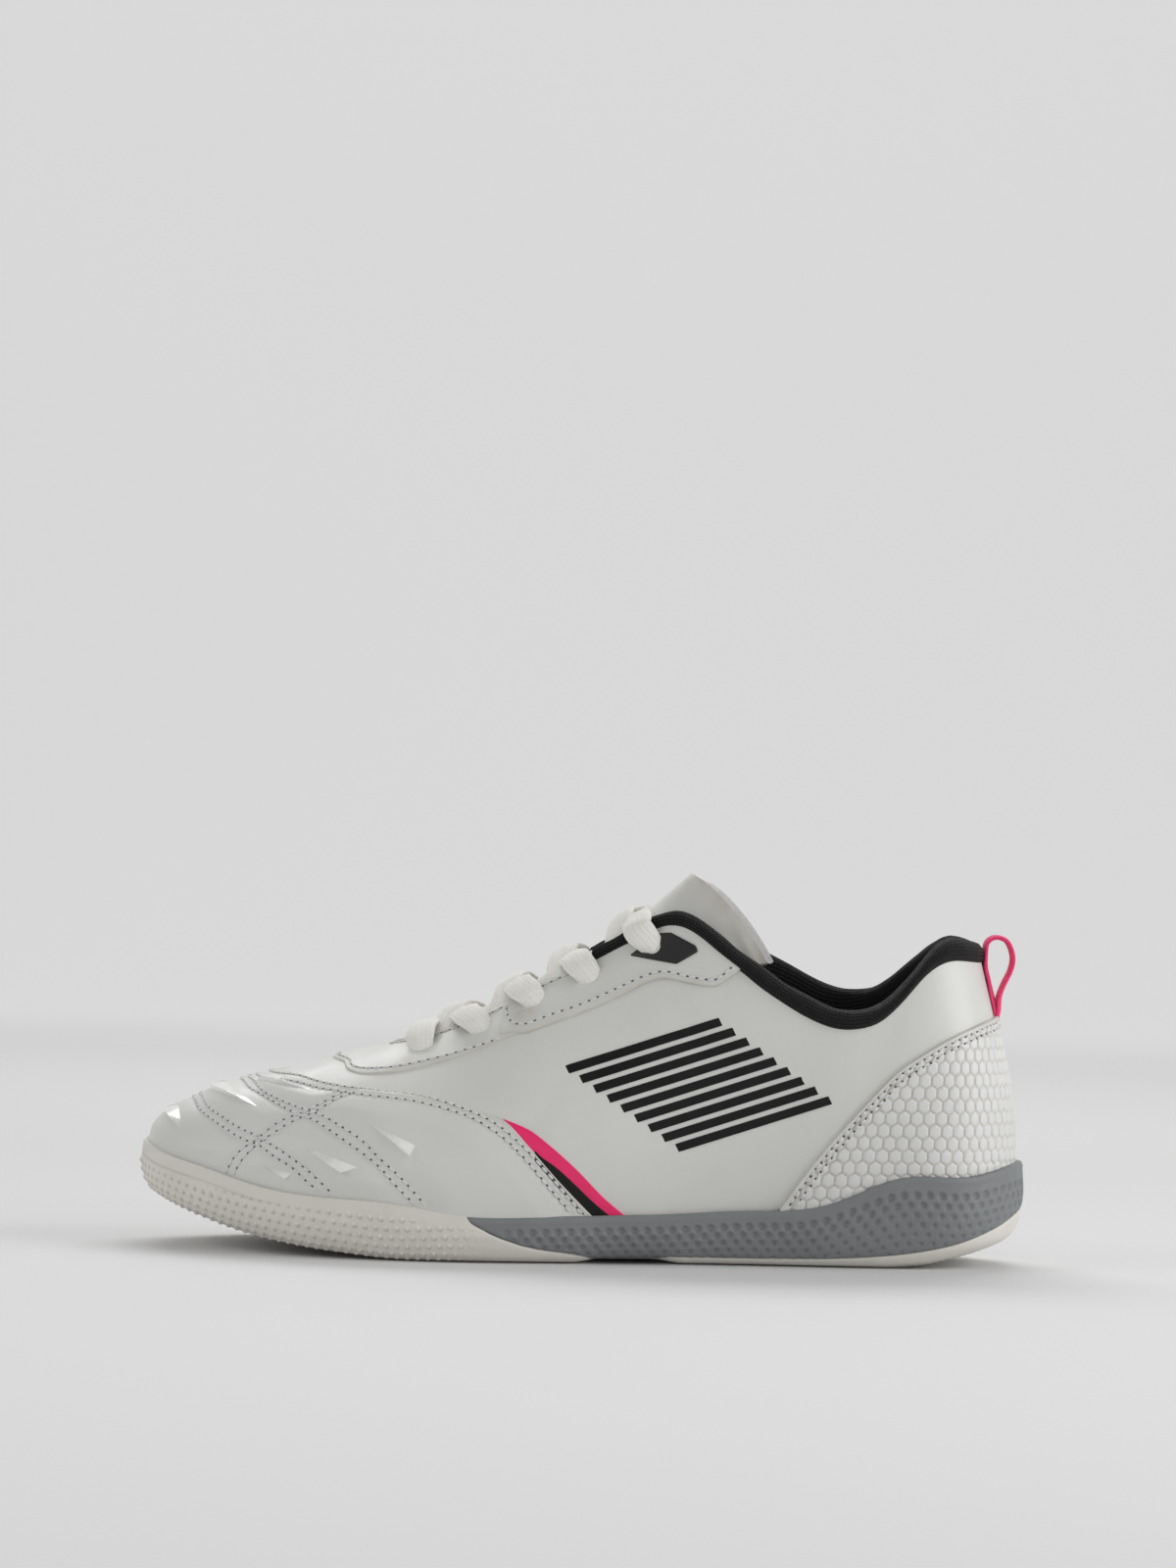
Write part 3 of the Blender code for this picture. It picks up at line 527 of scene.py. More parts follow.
def distance_to(points: Array, chain: Array) -> Array:
    """Distance from each point to the nearest point of a dense chain.

    Args:
        points: the points.
        chain: points of the chain.

    Returns:
        One distance for each point.
    """
    flat = points.reshape(-1, 3)
    found = np.empty(len(flat))
    for start in range(0, len(flat), 4000):
        part = flat[start : start + 4000]
        squares = (part**2).sum(1)[:, None] + (chain**2).sum(1) - 2 * part @ chain.T
        found[start : start + 4000] = np.sqrt(np.maximum(squares.min(1), 0))
    return found.reshape(points.shape[:-1])


def even_stops(run: Array, spacing: float, least: int = 2) -> Array:
    """Lengths at even spacing along a running length, both ends kept."""
    return np.linspace(0, run[-1], max(least, int(round(run[-1] / spacing)) + 1))


def even_chain(points: Array, spacing: float) -> Array:
    """Points at even spacing along a chain."""
    run = lengths_along(points)
    return np.column_stack([np.interp(even_stops(run, spacing), run, c) for c in points.T])


def smooth_columns(knots: Array, table: Array, stops: Array) -> Array:
    """A table's columns, each a smooth curve over the knots, read at stops."""
    return np.column_stack([monotone_curve(knots, column)(stops) for column in table.T])


def relax(path: Array, rounds: int = 6) -> None:
    """Eases the bends of a path between its fixed ends, in place."""
    for _ in range(rounds):
        path[1:-1] = (path[:-2] + 2 * path[1:-1] + path[2:]) / 4


def speckle(points: Array, size: float, seed: int) -> Array:
    """Soft lumps between -1 and 1 over points, as a sum of slanting waves.

    Args:
        points: where to read it, in millimetres.
        size: rough size of a lump.
        seed: picks the waves.

    Returns:
        One value for each point.
    """
    draw = np.random.default_rng(seed)
    total = np.zeros(points.shape[:-1])
    for _ in range(6):
        way = unit(draw.normal(size=3)) * 2 * math.pi / (size * draw.uniform(0.7, 1.6))
        total += np.sin(points @ way + draw.uniform(0, 2 * math.pi))
    return total / 3


@dataclass(frozen=True)
class PhotoView:
    """The photograph's viewpoint: a level camera beside the shoe, rolled a little."""

    across: float = 1.12
    distance: float = 1600.0
    height: float = 143.2
    roll_deg: float = 1.5
    focal_px: float = 5344.5
    frame_px: tuple[int, int] = (1200, 1600)
    sensor_mm: float = 36.0

    def ray(self, pixel: Pixel) -> tuple[Array, Array]:
        """Line of sight through a pixel.

        Args:
            pixel: a pixel of the photograph.

        Returns:
            Its start and direction in the shoe's frame.
        """
        turn = math.radians(self.roll_deg)
        right = pixel[0] - self.frame_px[0] / 2
        down = pixel[1] - self.frame_px[1] / 2
        level = right * math.cos(turn) + down * math.sin(turn)
        drop = -right * math.sin(turn) + down * math.cos(turn)
        way = np.array([-level, -self.focal_px, -drop])
        return np.array([self.across, self.distance, self.height]), unit(way)

    def add_camera(self) -> None:
        """Puts the scene's camera there."""
        data = bpy.data.cameras.new("photo_view")
        data.sensor_fit = "VERTICAL"
        data.sensor_height = self.sensor_mm
        data.lens = self.sensor_mm * self.focal_px / self.frame_px[1]
        data.clip_start = 0.05
        camera = bpy.data.objects.new("photo_view", data)
        camera.location = Vector((self.across, self.distance, self.height)) * MM
        camera.rotation_euler = (math.pi / 2, -math.radians(self.roll_deg), math.pi)
        bpy.context.scene.collection.objects.link(camera)
        bpy.context.scene.camera = camera


class Draper:
    """Carries lines drawn on the photograph onto the last's outer side."""

    def __init__(self, last: Last, view: PhotoView) -> None:
        """Nets the outer side finely enough to look places up on it.

        Args:
            last: the shoe's wall.
            view: where the photograph was taken from.
        """
        self.last, self.view = last, view
        u = np.linspace(-12, last.u_of("toe_tip") + 25, 420)
        v = np.linspace(0, 1, 120)
        self.places = np.stack(np.meshgrid(u, v), -1).reshape(-1, 2)
        self.points = last.face(self.places[:, 0], self.places[:, 1])
        quads = np.array(grid_faces(len(v), len(u)))
        self.triangles = np.concatenate([quads[:, [0, 1, 2]], quads[:, [0, 2, 3]]])
        self.net = BVHTree.FromPolygons(self.points.tolist(), self.triangles.tolist())

    def place(self, pixel: Pixel) -> Array:
        """Place seen at a pixel, or the nearest one to that line of sight at the silhouette.

        Args:
            pixel: a pixel of the photograph.

        Returns:
            Its u and v on the last.
        """
        start, way = self.view.ray(pixel)
        hit, _, index, _ = self.net.ray_cast(Vector(start), Vector(way))
        if hit is None:
            depths = self.view.distance + np.linspace(-70, 20, 46)
            found = [self.net.find_nearest(Vector(start + way * depth)) for depth in depths]
            hit, _, index, _ = min(found, key=lambda f: f[3])
        corners = self.triangles[index]
        a, b, c = self.points[corners]
        shares = np.linalg.lstsq(np.stack([b - a, c - a], 1), np.array(hit) - a, rcond=None)[0]
        weights = np.clip([1 - shares.sum(), *shares], 0, 1)
        return weights / weights.sum() @ self.places[corners]

    def places_at(self, pixels: Sequence[Pixel] | Array) -> Array:
        """Places seen at pixels, in an array of the same shape."""
        drawn = np.asarray(pixels, float)
        return np.array([self.place(p) for p in drawn.reshape(-1, 2)]).reshape(drawn.shape)

    def through(self, places: Array, spacing: float = 0.6) -> Array:
        """Smooth line through a few places.

        Args:
            places: the places, in order.
            spacing: distance between neighbours of the line, on the wall.

        Returns:
            Places along the line.
        """
        run = lengths_along(self.last.face(places[:, 0], places[:, 1]))
        return smooth_columns(run, places, even_stops(run, spacing, 3))


@dataclass(frozen=True)
class PanelEdge:
    """Which sides of a sewn panel are free edges, rounded over onto what lies under them."""

    low: bool = True
    high: bool = False
    start: bool = False
    end: bool = False


FREE_TOP = PanelEdge(low=False, high=True)


def panel_patch(
    last: Last,
    u: Array,
    low: Array,
    high: Array,
    lift: float,
    rows: int,
    edge: PanelEdge,
    relief: Relief | None = None,
    sink: float = -0.2,
    rounding: float = 0.7,
) -> Patch:
    """A sewn-on panel that follows the wall between two lines.

    Args:
        last: the wall.
        u: places of the columns.
        low: share of the rib at the panel's lower line, for each column.
        high: the same for its upper line.
        lift: how far its face stands off the wall.
        rows: number of rows between the rounded edges.
        edge: which sides are free edges.
        relief: extra height, given points on the bare wall and their places and shares.
        sink: height of the hidden foot of a free edge.
        rounding: radius of a free edge.

    Returns:
        The panel's patch, with the value edge rising to 1 at free edges.
    """
    bottom, top = last.face(u, low), last.face(u, high)
    height = np.maximum(np.linalg.norm(top - bottom, axis=-1), 1e-3)
    near = np.array([0, 0.08, 0.22, 0.42, 0.68, 1.0]) * rounding
    inner = np.linspace(0, 1, rows)
    room = np.minimum(rounding, 0.4 * height)
    shares = np.concatenate(
        [
            near[:-1, None] * (room / rounding / height),
            (room / height) + inner[:, None] * (1 - 2 * room / height),
            1 - near[-2::-1, None] * (room / rounding / height),
        ]
    )
    v = low + shares * (high - low)
    places = np.broadcast_to(u, v.shape)
    face = last.face(places, v)
    run = lengths_along(last.face(u, (low + high) / 2))
    gaps = np.full(v.shape, 1e3)
    for wanted, gap in (
        (edge.low, shares * height),
        (edge.high, (1 - shares) * height),
        (edge.start, np.broadcast_to(run, v.shape)),
        (edge.end, np.broadcast_to((run[-1] - run), v.shape)),
    ):
        if wanted:
            gaps = np.minimum(gaps, gap)
    roll = np.sqrt(1 - (1 - np.clip(gaps / rounding, 0, 1)) ** 2)
    out = sink + (lift - sink) * roll
    if relief is not None:
        out = out + relief(face, places, v) * roll
    points = face + out[..., None] * last.normal(places, v)
    return grid_patch(points, edge=np.exp(-gaps / 1.0))


class Board:
    """Node board of one procedural material."""

    def __init__(self, name: str) -> None:
        """Starts a material with its shader and the object's own coordinates.

        Args:
            name: the material's name.
        """
        self.material = bpy.data.materials.new(name)
        self.material.use_nodes = True
        self.tree = self.material.node_tree
        self.place = self.node("TexCoord").outputs["Object"]

    def plug(self, target: Socket, value: Source) -> None:
        """Links a socket to its source, or sets its own number or colour.

        Args:
            target: the socket.
            value: another socket, a number or a colour.
        """
        if isinstance(value, Socket):
            self.tree.links.new(value, target)
        else:
            target.default_value = (*value, 1.0) if isinstance(value, tuple) else value

    def fit(self, node: bpy.types.Node, inputs: dict[str, Source]) -> None:
        """Plugs a node's inputs, which are named with underscores for blanks."""
        for name, value in inputs.items():
            self.plug(node.inputs[name.replace("_", " ")], value)

    def node(self, kind: str, **inputs: Source) -> bpy.types.Node:
        """A new node.

        Args:
            kind: its type, without the first word that all shader nodes share.
            inputs: what it is plugged with.

        Returns:
            The node.
        """
        node = self.tree.nodes.new("ShaderNode" + kind)
        self.fit(node, inputs)
        return node

    def dressed(self, **inputs: Source) -> bpy.types.Material:
        """The material, with these inputs plugged on its shader."""
        self.fit(self.tree.nodes["Principled BSDF"], inputs)
        return self.material

    def noise(self, size_mm: float, detail: float = 3.0) -> Socket:
        """Cloudy pattern with lumps of about that size."""
        node = self.node("TexNoise", Scale=1 / (size_mm * MM), Detail=detail, Vector=self.place)
        return node.outputs["Fac"]

    def clouds(self, size_mm: float, low: float, high: float, detail: float = 3.0) -> Socket:
        """Cloudy pattern between two numbers."""
        span = {"From_Min": 0.25, "From_Max": 0.75, "To_Min": low, "To_Max": high}
        return self.node("MapRange", Value=self.noise(size_mm, detail), **span).outputs["Result"]

    def mottled(self, size_mm: float, detail: float, colour: Colour, shade: Colour) -> Socket:
        """Cloudy mix of two colours."""
        return self.blend(self.clouds(size_mm, 0.0, 1.0, detail), colour, shade)

    def cells(self, size_mm: float) -> Socket:
        """Distance to the borders of small irregular cells, as in leather grain."""
        node = self.node("TexVoronoi", Scale=1 / (size_mm * MM), Vector=self.place)
        node.feature = "DISTANCE_TO_EDGE"
        return node.outputs["Distance"]

    def value(self, name: str) -> Socket:
        """A named value of the mesh's points."""
        node = self.node("Attribute")
        node.attribute_name = name
        return node.outputs["Fac"]

    def maths(self, kind: str, *terms: Source) -> Socket:
        """One step of arithmetic.

        Args:
            kind: the operation.
            terms: sockets or numbers.

        Returns:
            The result's socket.
        """
        node = self.node("Math")
        node.operation = kind
        for target, term in zip(node.inputs, terms):
            self.plug(target, term)
        return node.outputs[0]

    def wave(self, source: Socket, pitch_mm: float) -> Socket:
        """Sine of a length in millimetres, repeating at a pitch."""
        return self.maths("SINE", self.maths("MULTIPLY", source, 2 * math.pi / pitch_mm), 0.0)

    def weave(self, rows: Socket, columns: Socket) -> Socket:
        """Two waves added and brought to 0 to 1."""
        return self.maths("MULTIPLY_ADD", self.maths("ADD", rows, columns), 0.25, 0.5)

    def blend(self, share: Socket, first: Source, second: Colour) -> Socket:
        """Mix of two colours.

        Args:
            share: share of the second colour, from 0 to 1.
            first: a colour, or the socket of one.
            second: a colour.

        Returns:
            The mixed colour's socket.
        """
        node = self.node("Mix")
        node.data_type = "RGBA"
        for index, value in ((0, share), (6, first), (7, second)):
            self.plug(node.inputs[index], value)
        return node.outputs[2]

    def bump(self, source: Socket, depth_mm: float, **under: Socket) -> Socket:
        """Surface normal for a height pattern of that depth, over another Normal."""
        return self.node("Bump", Distance=depth_mm * MM, Height=source, **under).outputs["Normal"]


@dataclass(frozen=True)
class Leather:
    """Coated leather: fine pebbled grain under a thin gloss, soiled a little along sewn edges; one mesh
    value mixes in the third colour, for real stains, painted shade in pressed grooves and the fade of a
    painted highlight.
    """

    name: str
    colour: Colour
    shade: Colour
    soil: Colour
    roughness: float = 0.42
    coat: float = 0.12
    grain_mm: float = 0.55
    grain_depth_mm: float = 0.035

    def make(self) -> bpy.types.Material:
        """Makes it.

        Returns:
            The material.
        """
        board = Board(self.name)
        tone = board.mottled(38.0, 4.0, self.colour, self.shade)
        worn = board.maths("MULTIPLY", board.value("edge"), board.clouds(5.0, 0.15, 0.6))
        # Share of the third colour: real stains on the stays, painted shade in the counter's grooves, the
        # fade of the fins' painted highlight.
        stain_and_shade_share = board.maths("MULTIPLY", board.value("soil"), board.clouds(2.2, 0.2, 0.9))
        grain = board.bump(board.cells(self.grain_mm), self.grain_depth_mm)
        return board.dressed(
            Base_Color=board.blend(stain_and_shade_share, board.blend(worn, tone, self.soil), self.soil),
            Roughness=board.clouds(9.0, self.roughness - 0.05, self.roughness + 0.07),
            Normal=board.bump(board.noise(14.0, 2.0), 0.12, Normal=grain),
            Coat_Weight=self.coat,
            Coat_Roughness=0.18,
            Specular_IOR_Level=0.45,
        )


@dataclass(frozen=True)
class Rubber:
    """Moulded rubber: matt, faintly mottled, with painted shade in its dents and grooves and beside its
    raised dots.
    """

    name: str
    colour: Colour
    shade: Colour
    hollow: Colour
    roughness: float = 0.5

    def make(self) -> bpy.types.Material:
        """Makes it.

        Returns:
            The material.
        """
        board = Board(self.name)
        tone = board.mottled(16.0, 5.0, self.colour, self.shade)
        fine = board.bump(board.noise(0.35, 2.0), 0.03)
        return board.dressed(
            # Painted shade: the colour goes towards the third colour in dents, grooves and beside raised
            # dots.
            Base_Color=board.blend(board.value("hollow"), tone, self.hollow),
            Roughness=board.clouds(4.0, self.roughness - 0.06, self.roughness + 0.1),
            Normal=board.bump(board.noise(6.0), 0.06, Normal=fine),
            Specular_IOR_Level=0.4,
        )


@dataclass(frozen=True)
class Knit:
    """Knitted spacer mesh: rows of small loops with dark holes between them."""

    name: str
    colour: Colour
    strand: Colour
    row_mm: float = 1.25
    loop_mm: float = 1.05
    depth_mm: float = 0.5

    def make(self) -> bpy.types.Material:
        """Makes it.

        Returns:
            The material.
        """
        board = Board(self.name)
        rows = board.wave(board.value("across"), self.row_mm)
        slant = board.maths("ADD", board.value("along"), board.maths("MULTIPLY", rows, 0.25 * self.loop_mm))
        cloth = board.weave(rows, board.wave(slant, self.loop_mm))
        return board.dressed(
            Base_Color=board.blend(cloth, self.colour, self.strand),
            Roughness=board.clouds(3.0, 0.72, 0.95),
            Normal=board.bump(cloth, self.depth_mm, Normal=board.bump(board.noise(0.25, 2.0), 0.05)),
            Sheen_Weight=0.06,
            Sheen_Roughness=0.5,
            Specular_IOR_Level=0.2,
        )


@dataclass(frozen=True)
class Tape:
    """Woven tape: lengthwise ribs of slanting yarn, as on a flat lace or a webbing loop."""

    name: str
    colour: Colour
    shade: Colour
    rib_mm: float = 1.3
    yarn_mm: float = 0.75
    depth_mm: float = 0.16

    def make(self) -> bpy.types.Material:
        """Makes it.

        Returns:
            The material.
        """
        board = Board(self.name)
        ribs = board.wave(board.value("across"), self.rib_mm)
        lean = board.maths("MULTIPLY", board.maths("ABSOLUTE", ribs, 0.0), 0.45 * self.yarn_mm)
        weave = board.weave(ribs, board.wave(board.maths("ADD", board.value("along"), lean), self.yarn_mm))
        # Painted shade: the colour darkens to the shade colour in the hollows between the yarns, in step
        # with the weave.
        tone = board.blend(weave, self.shade, self.colour)
        return board.dressed(
            Base_Color=board.blend(board.clouds(7.0, 0.0, 0.35), tone, self.shade),
            Roughness=board.clouds(2.0, 0.74, 0.92),
            Normal=board.bump(weave, self.depth_mm, Normal=board.bump(board.noise(0.2, 2.0), 0.04)),
            Sheen_Weight=0.2,
            Sheen_Roughness=0.45,
            Specular_IOR_Level=0.25,
        )


@dataclass(frozen=True)
class Cloth:
    """Soft napped or woven cloth with cloudy nap."""

    name: str
    colour: Colour
    shade: Colour
    depth_mm: float = 0.2
    sheen: float = 0.5

    def make(self) -> bpy.types.Material:
        """Makes it.

        Returns:
            The material.
        """
        board = Board(self.name)
        broad = board.bump(board.noise(2.4), self.depth_mm)
        return board.dressed(
            Base_Color=board.mottled(3.0, 5.0, self.colour, self.shade),
            Roughness=board.clouds(1.5, 0.82, 0.98),
            Normal=board.bump(board.noise(0.5), self.depth_mm, Normal=broad),
            Sheen_Weight=self.sheen,
            Sheen_Roughness=0.6,
            Specular_IOR_Level=0.2,
        )


@dataclass(frozen=True)
class Film:
    """Thin printed or laminated film: even, slightly glossy, finely grained."""

    name: str
    colour: Colour
    shade: Colour
    gloss: float = 0.4

    def make(self) -> bpy.types.Material:
        """Makes it.

        Returns:
            The material.
        """
        board = Board(self.name)
        return board.dressed(
            Base_Color=board.mottled(6.0, 4.0, self.colour, self.shade),
            Roughness=board.clouds(2.0, 0.34, 0.5),
            Normal=board.bump(board.cells(0.6), 0.03),
            Specular_IOR_Level=self.gloss,
        )


class Finishes:
    """Every material of the shoe, made once."""

    def __init__(self) -> None:
        """Makes the materials."""
        white, grey_white, soil = (0.715, 0.718, 0.685), (0.665, 0.668, 0.64), (0.46, 0.39, 0.30)
        self.leather = Leather("white_leather", white, grey_white, soil).make()
        # Painted highlight: the fins' colour is lighter than the white leather.
        fin_highlight, fin_highlight_shade = (0.95, 0.95, 0.93), (0.87, 0.87, 0.85)
        self.fin = Leather("glossy_fin_leather_painted_highlight", fin_highlight, fin_highlight_shade, white, 0.14, 1.0, 0.55, 0.008).make()
        self.embossed = Leather("embossed_leather", (0.76, 0.755, 0.745), grey_white, soil, 0.38).make()
        black, black_shade, worn_black = (0.009, 0.009, 0.009), (0.014, 0.014, 0.014), (0.03, 0.03, 0.03)
        self.black_leather = Leather("black_leather", black, black_shade, worn_black, coat=0.1).make()
        self.lining = Cloth("upper_lining", (0.015, 0.015, 0.016), worn_black, sheen=0.2).make()
        self.raw_edge = Cloth("raw_edge", (0.86, 0.84, 0.80), (0.74, 0.72, 0.68), 0.1, 0.1).make()
        # The third colour of each rubber is the colour of its painted shade.
        pale, pale_shade, pale_painted_shade = (0.76, 0.735, 0.68), (0.71, 0.685, 0.63), (0.50, 0.47, 0.41)
        self.pale = Rubber("pale_rubber", pale, pale_shade, pale_painted_shade).make()
        grey, grey_shade, grey_painted_shade = (0.225, 0.237, 0.244), (0.195, 0.206, 0.213), (0.12, 0.127, 0.132)
        self.grey = Rubber("grey_rubber", grey, grey_shade, grey_painted_shade).make()
        self.knit = Knit("black_knit", (0.001, 0.001, 0.001), (0.021, 0.02, 0.02)).make()
        self.lace = Tape("lace_cotton", (0.97, 0.955, 0.91), (0.86, 0.835, 0.78)).make()
        self.webbing = Tape("pink_webbing", (1.0, 0.085, 0.26), (0.80, 0.03, 0.14), 1.6, 0.9, 0.2).make()
        self.fleece = Cloth("tongue_fleece", (0.36, 0.34, 0.33), (0.26, 0.25, 0.24), 0.35, 0.8).make()
        self.insole = Cloth("insole_cloth", (0.02, 0.02, 0.021), (0.035, 0.035, 0.036), sheen=0.3).make()
        self.pink = Film("pink_film", (0.90, 0.020, 0.155), (0.82, 0.015, 0.13)).make()
        self.black = Film("black_film", (0.006, 0.005, 0.005), (0.010, 0.009, 0.009), gloss=0.2).make()
        self.thread = Tape("sewing_thread", (0.88, 0.875, 0.86), (0.66, 0.655, 0.64), 0.5, 0.3, 0.05).make()
        # Needle holes: real holes, their dark colour painted shade.
        self.needle_hole_shade = Cloth("needle_hole_shade", (0.16, 0.157, 0.15), (0.10, 0.098, 0.09), sheen=0.0).make()


class Skin:
    """A finished surface that stitches and small trim are seated on."""

    def __init__(self, *patches: Patch) -> None:
        """Nets the patches."""
        starts = np.cumsum([0] + [len(p.points) for p in patches])
        faces = [[i + s for i in f] for p, s in zip(patches, starts) for f in p.faces]
        self.net = BVHTree.FromPolygons(np.concatenate([p.points for p in patches]).tolist(), faces)

    def seat(self, points: Array) -> tuple[Array, Array]:
        """Nearest places on the surface, and the surface's normals there."""
        found = [self.net.find_nearest(Vector(p)) for p in points]
        return np.array([f[0] for f in found]), np.array([f[1] for f in found])


def bead(
    centre: Array, along: Array, up: Array, length: float, radius: float, arch: float, sink: float
) -> Patch:
    """One short length of thread, arched over the surface with both ends diving in.

    Args:
        centre: its middle on the surface.
        along: direction of the seam.
        up: the surface's normal.
        length: from end to end.
        radius: of the thread.
        arch: rise of its middle over its ends.
        sink: how far it lies in the surface.

    Returns:
        A closed patch with the thread's length and girth as values.
    """
    share = np.array([-1.0, -0.72, 0.0, 0.72, 1.0])
    turn = np.linspace(0, 2 * math.pi, 6, endpoint=False)
    girth = radius * np.array([0.45, 0.9, 1.0, 0.9, 0.45])
    side = unit(np.cross(up, along))
    spine = centre + np.outer(share * length / 2, along) + np.outer(arch * (1 - share**2) - sink, up)
    ring = np.cos(turn)[:, None] * side + np.sin(turn)[:, None] * up
    points = spine[:, None, :] + girth[:, None, None] * ring[None]
    run = np.broadcast_to((share * length / 2)[:, None], points.shape[:2])
    patch = grid_patch(points, wrap=True, along=run, across=np.broadcast_to(turn * radius, points.shape[:2]))
    count = len(turn)
    end = len(patch.points) - count
    patch.faces += [list(range(count)), list(range(end, end + count))[::-1]]
    return patch


@dataclass
class Seam:
    """A row of machine stitches along a line."""

    skin: Skin
    pitch: float = 2.7
    stitch: float = 2.05
    radius: float = 0.4
    arch: float = 0.22
    hole: float = 1.0
    hole_depth: float = 0.16

    def patches(self, chain: Array) -> list[Patch]:
        """Stitches, and between them the needle holes as dark beads: real holes, with their darkness painted
        shade.

        Args:
            chain: points along the row, near the skin.

        Returns:
            Patches with look 0 for thread and 1 for the holes' dark beads of painted shade.
        """
        marks = even_chain(chain, self.pitch / 2)
        points, normals = self.skin.seat(marks)
        ways = unit(np.gradient(points, axis=0))
        made = []
        for i in range(1, len(points) - 1):
            if i % 2:
                shape = (self.stitch, self.radius, self.arch, 0.02)
            else:
                # Dark bead at a needle hole: a real hole, its darkness painted shade.
                shape = (self.hole, self.radius * 0.95, 0.0, self.hole_depth)
            made.append(bead(points[i], ways[i], normals[i], *shape))
            made[-1].look = 1 - i % 2
        return made


@dataclass(frozen=True)
class Fin:
    """A raised glossy wedge on the toe, drawn from its point to the two corners of its broad end."""

    point: Pixel
    corner_a: Pixel
    corner_b: Pixel
    height: float


def add_seams(name: str, patches: Sequence[Patch], finishes: Finishes) -> None:
    """Adds stitches with their needle holes, dark beads of painted shade, as one piece."""
    add_piece(name, patches, [finishes.thread, finishes.needle_hole_shade], Slot.LEATHER)


class Toe(Enum):
    """How a drawn line goes on to the toe's middle: not at all, level, or square across the shoe."""

    NONE = 0
    LEVEL = 1
    SQUARE = 2


class Crease(NamedTuple):
    """A soft crease of the quarters: its middle, lean, depth and half length."""

    station: float
    height: float
    lean: float
    depth: float
    reach: float


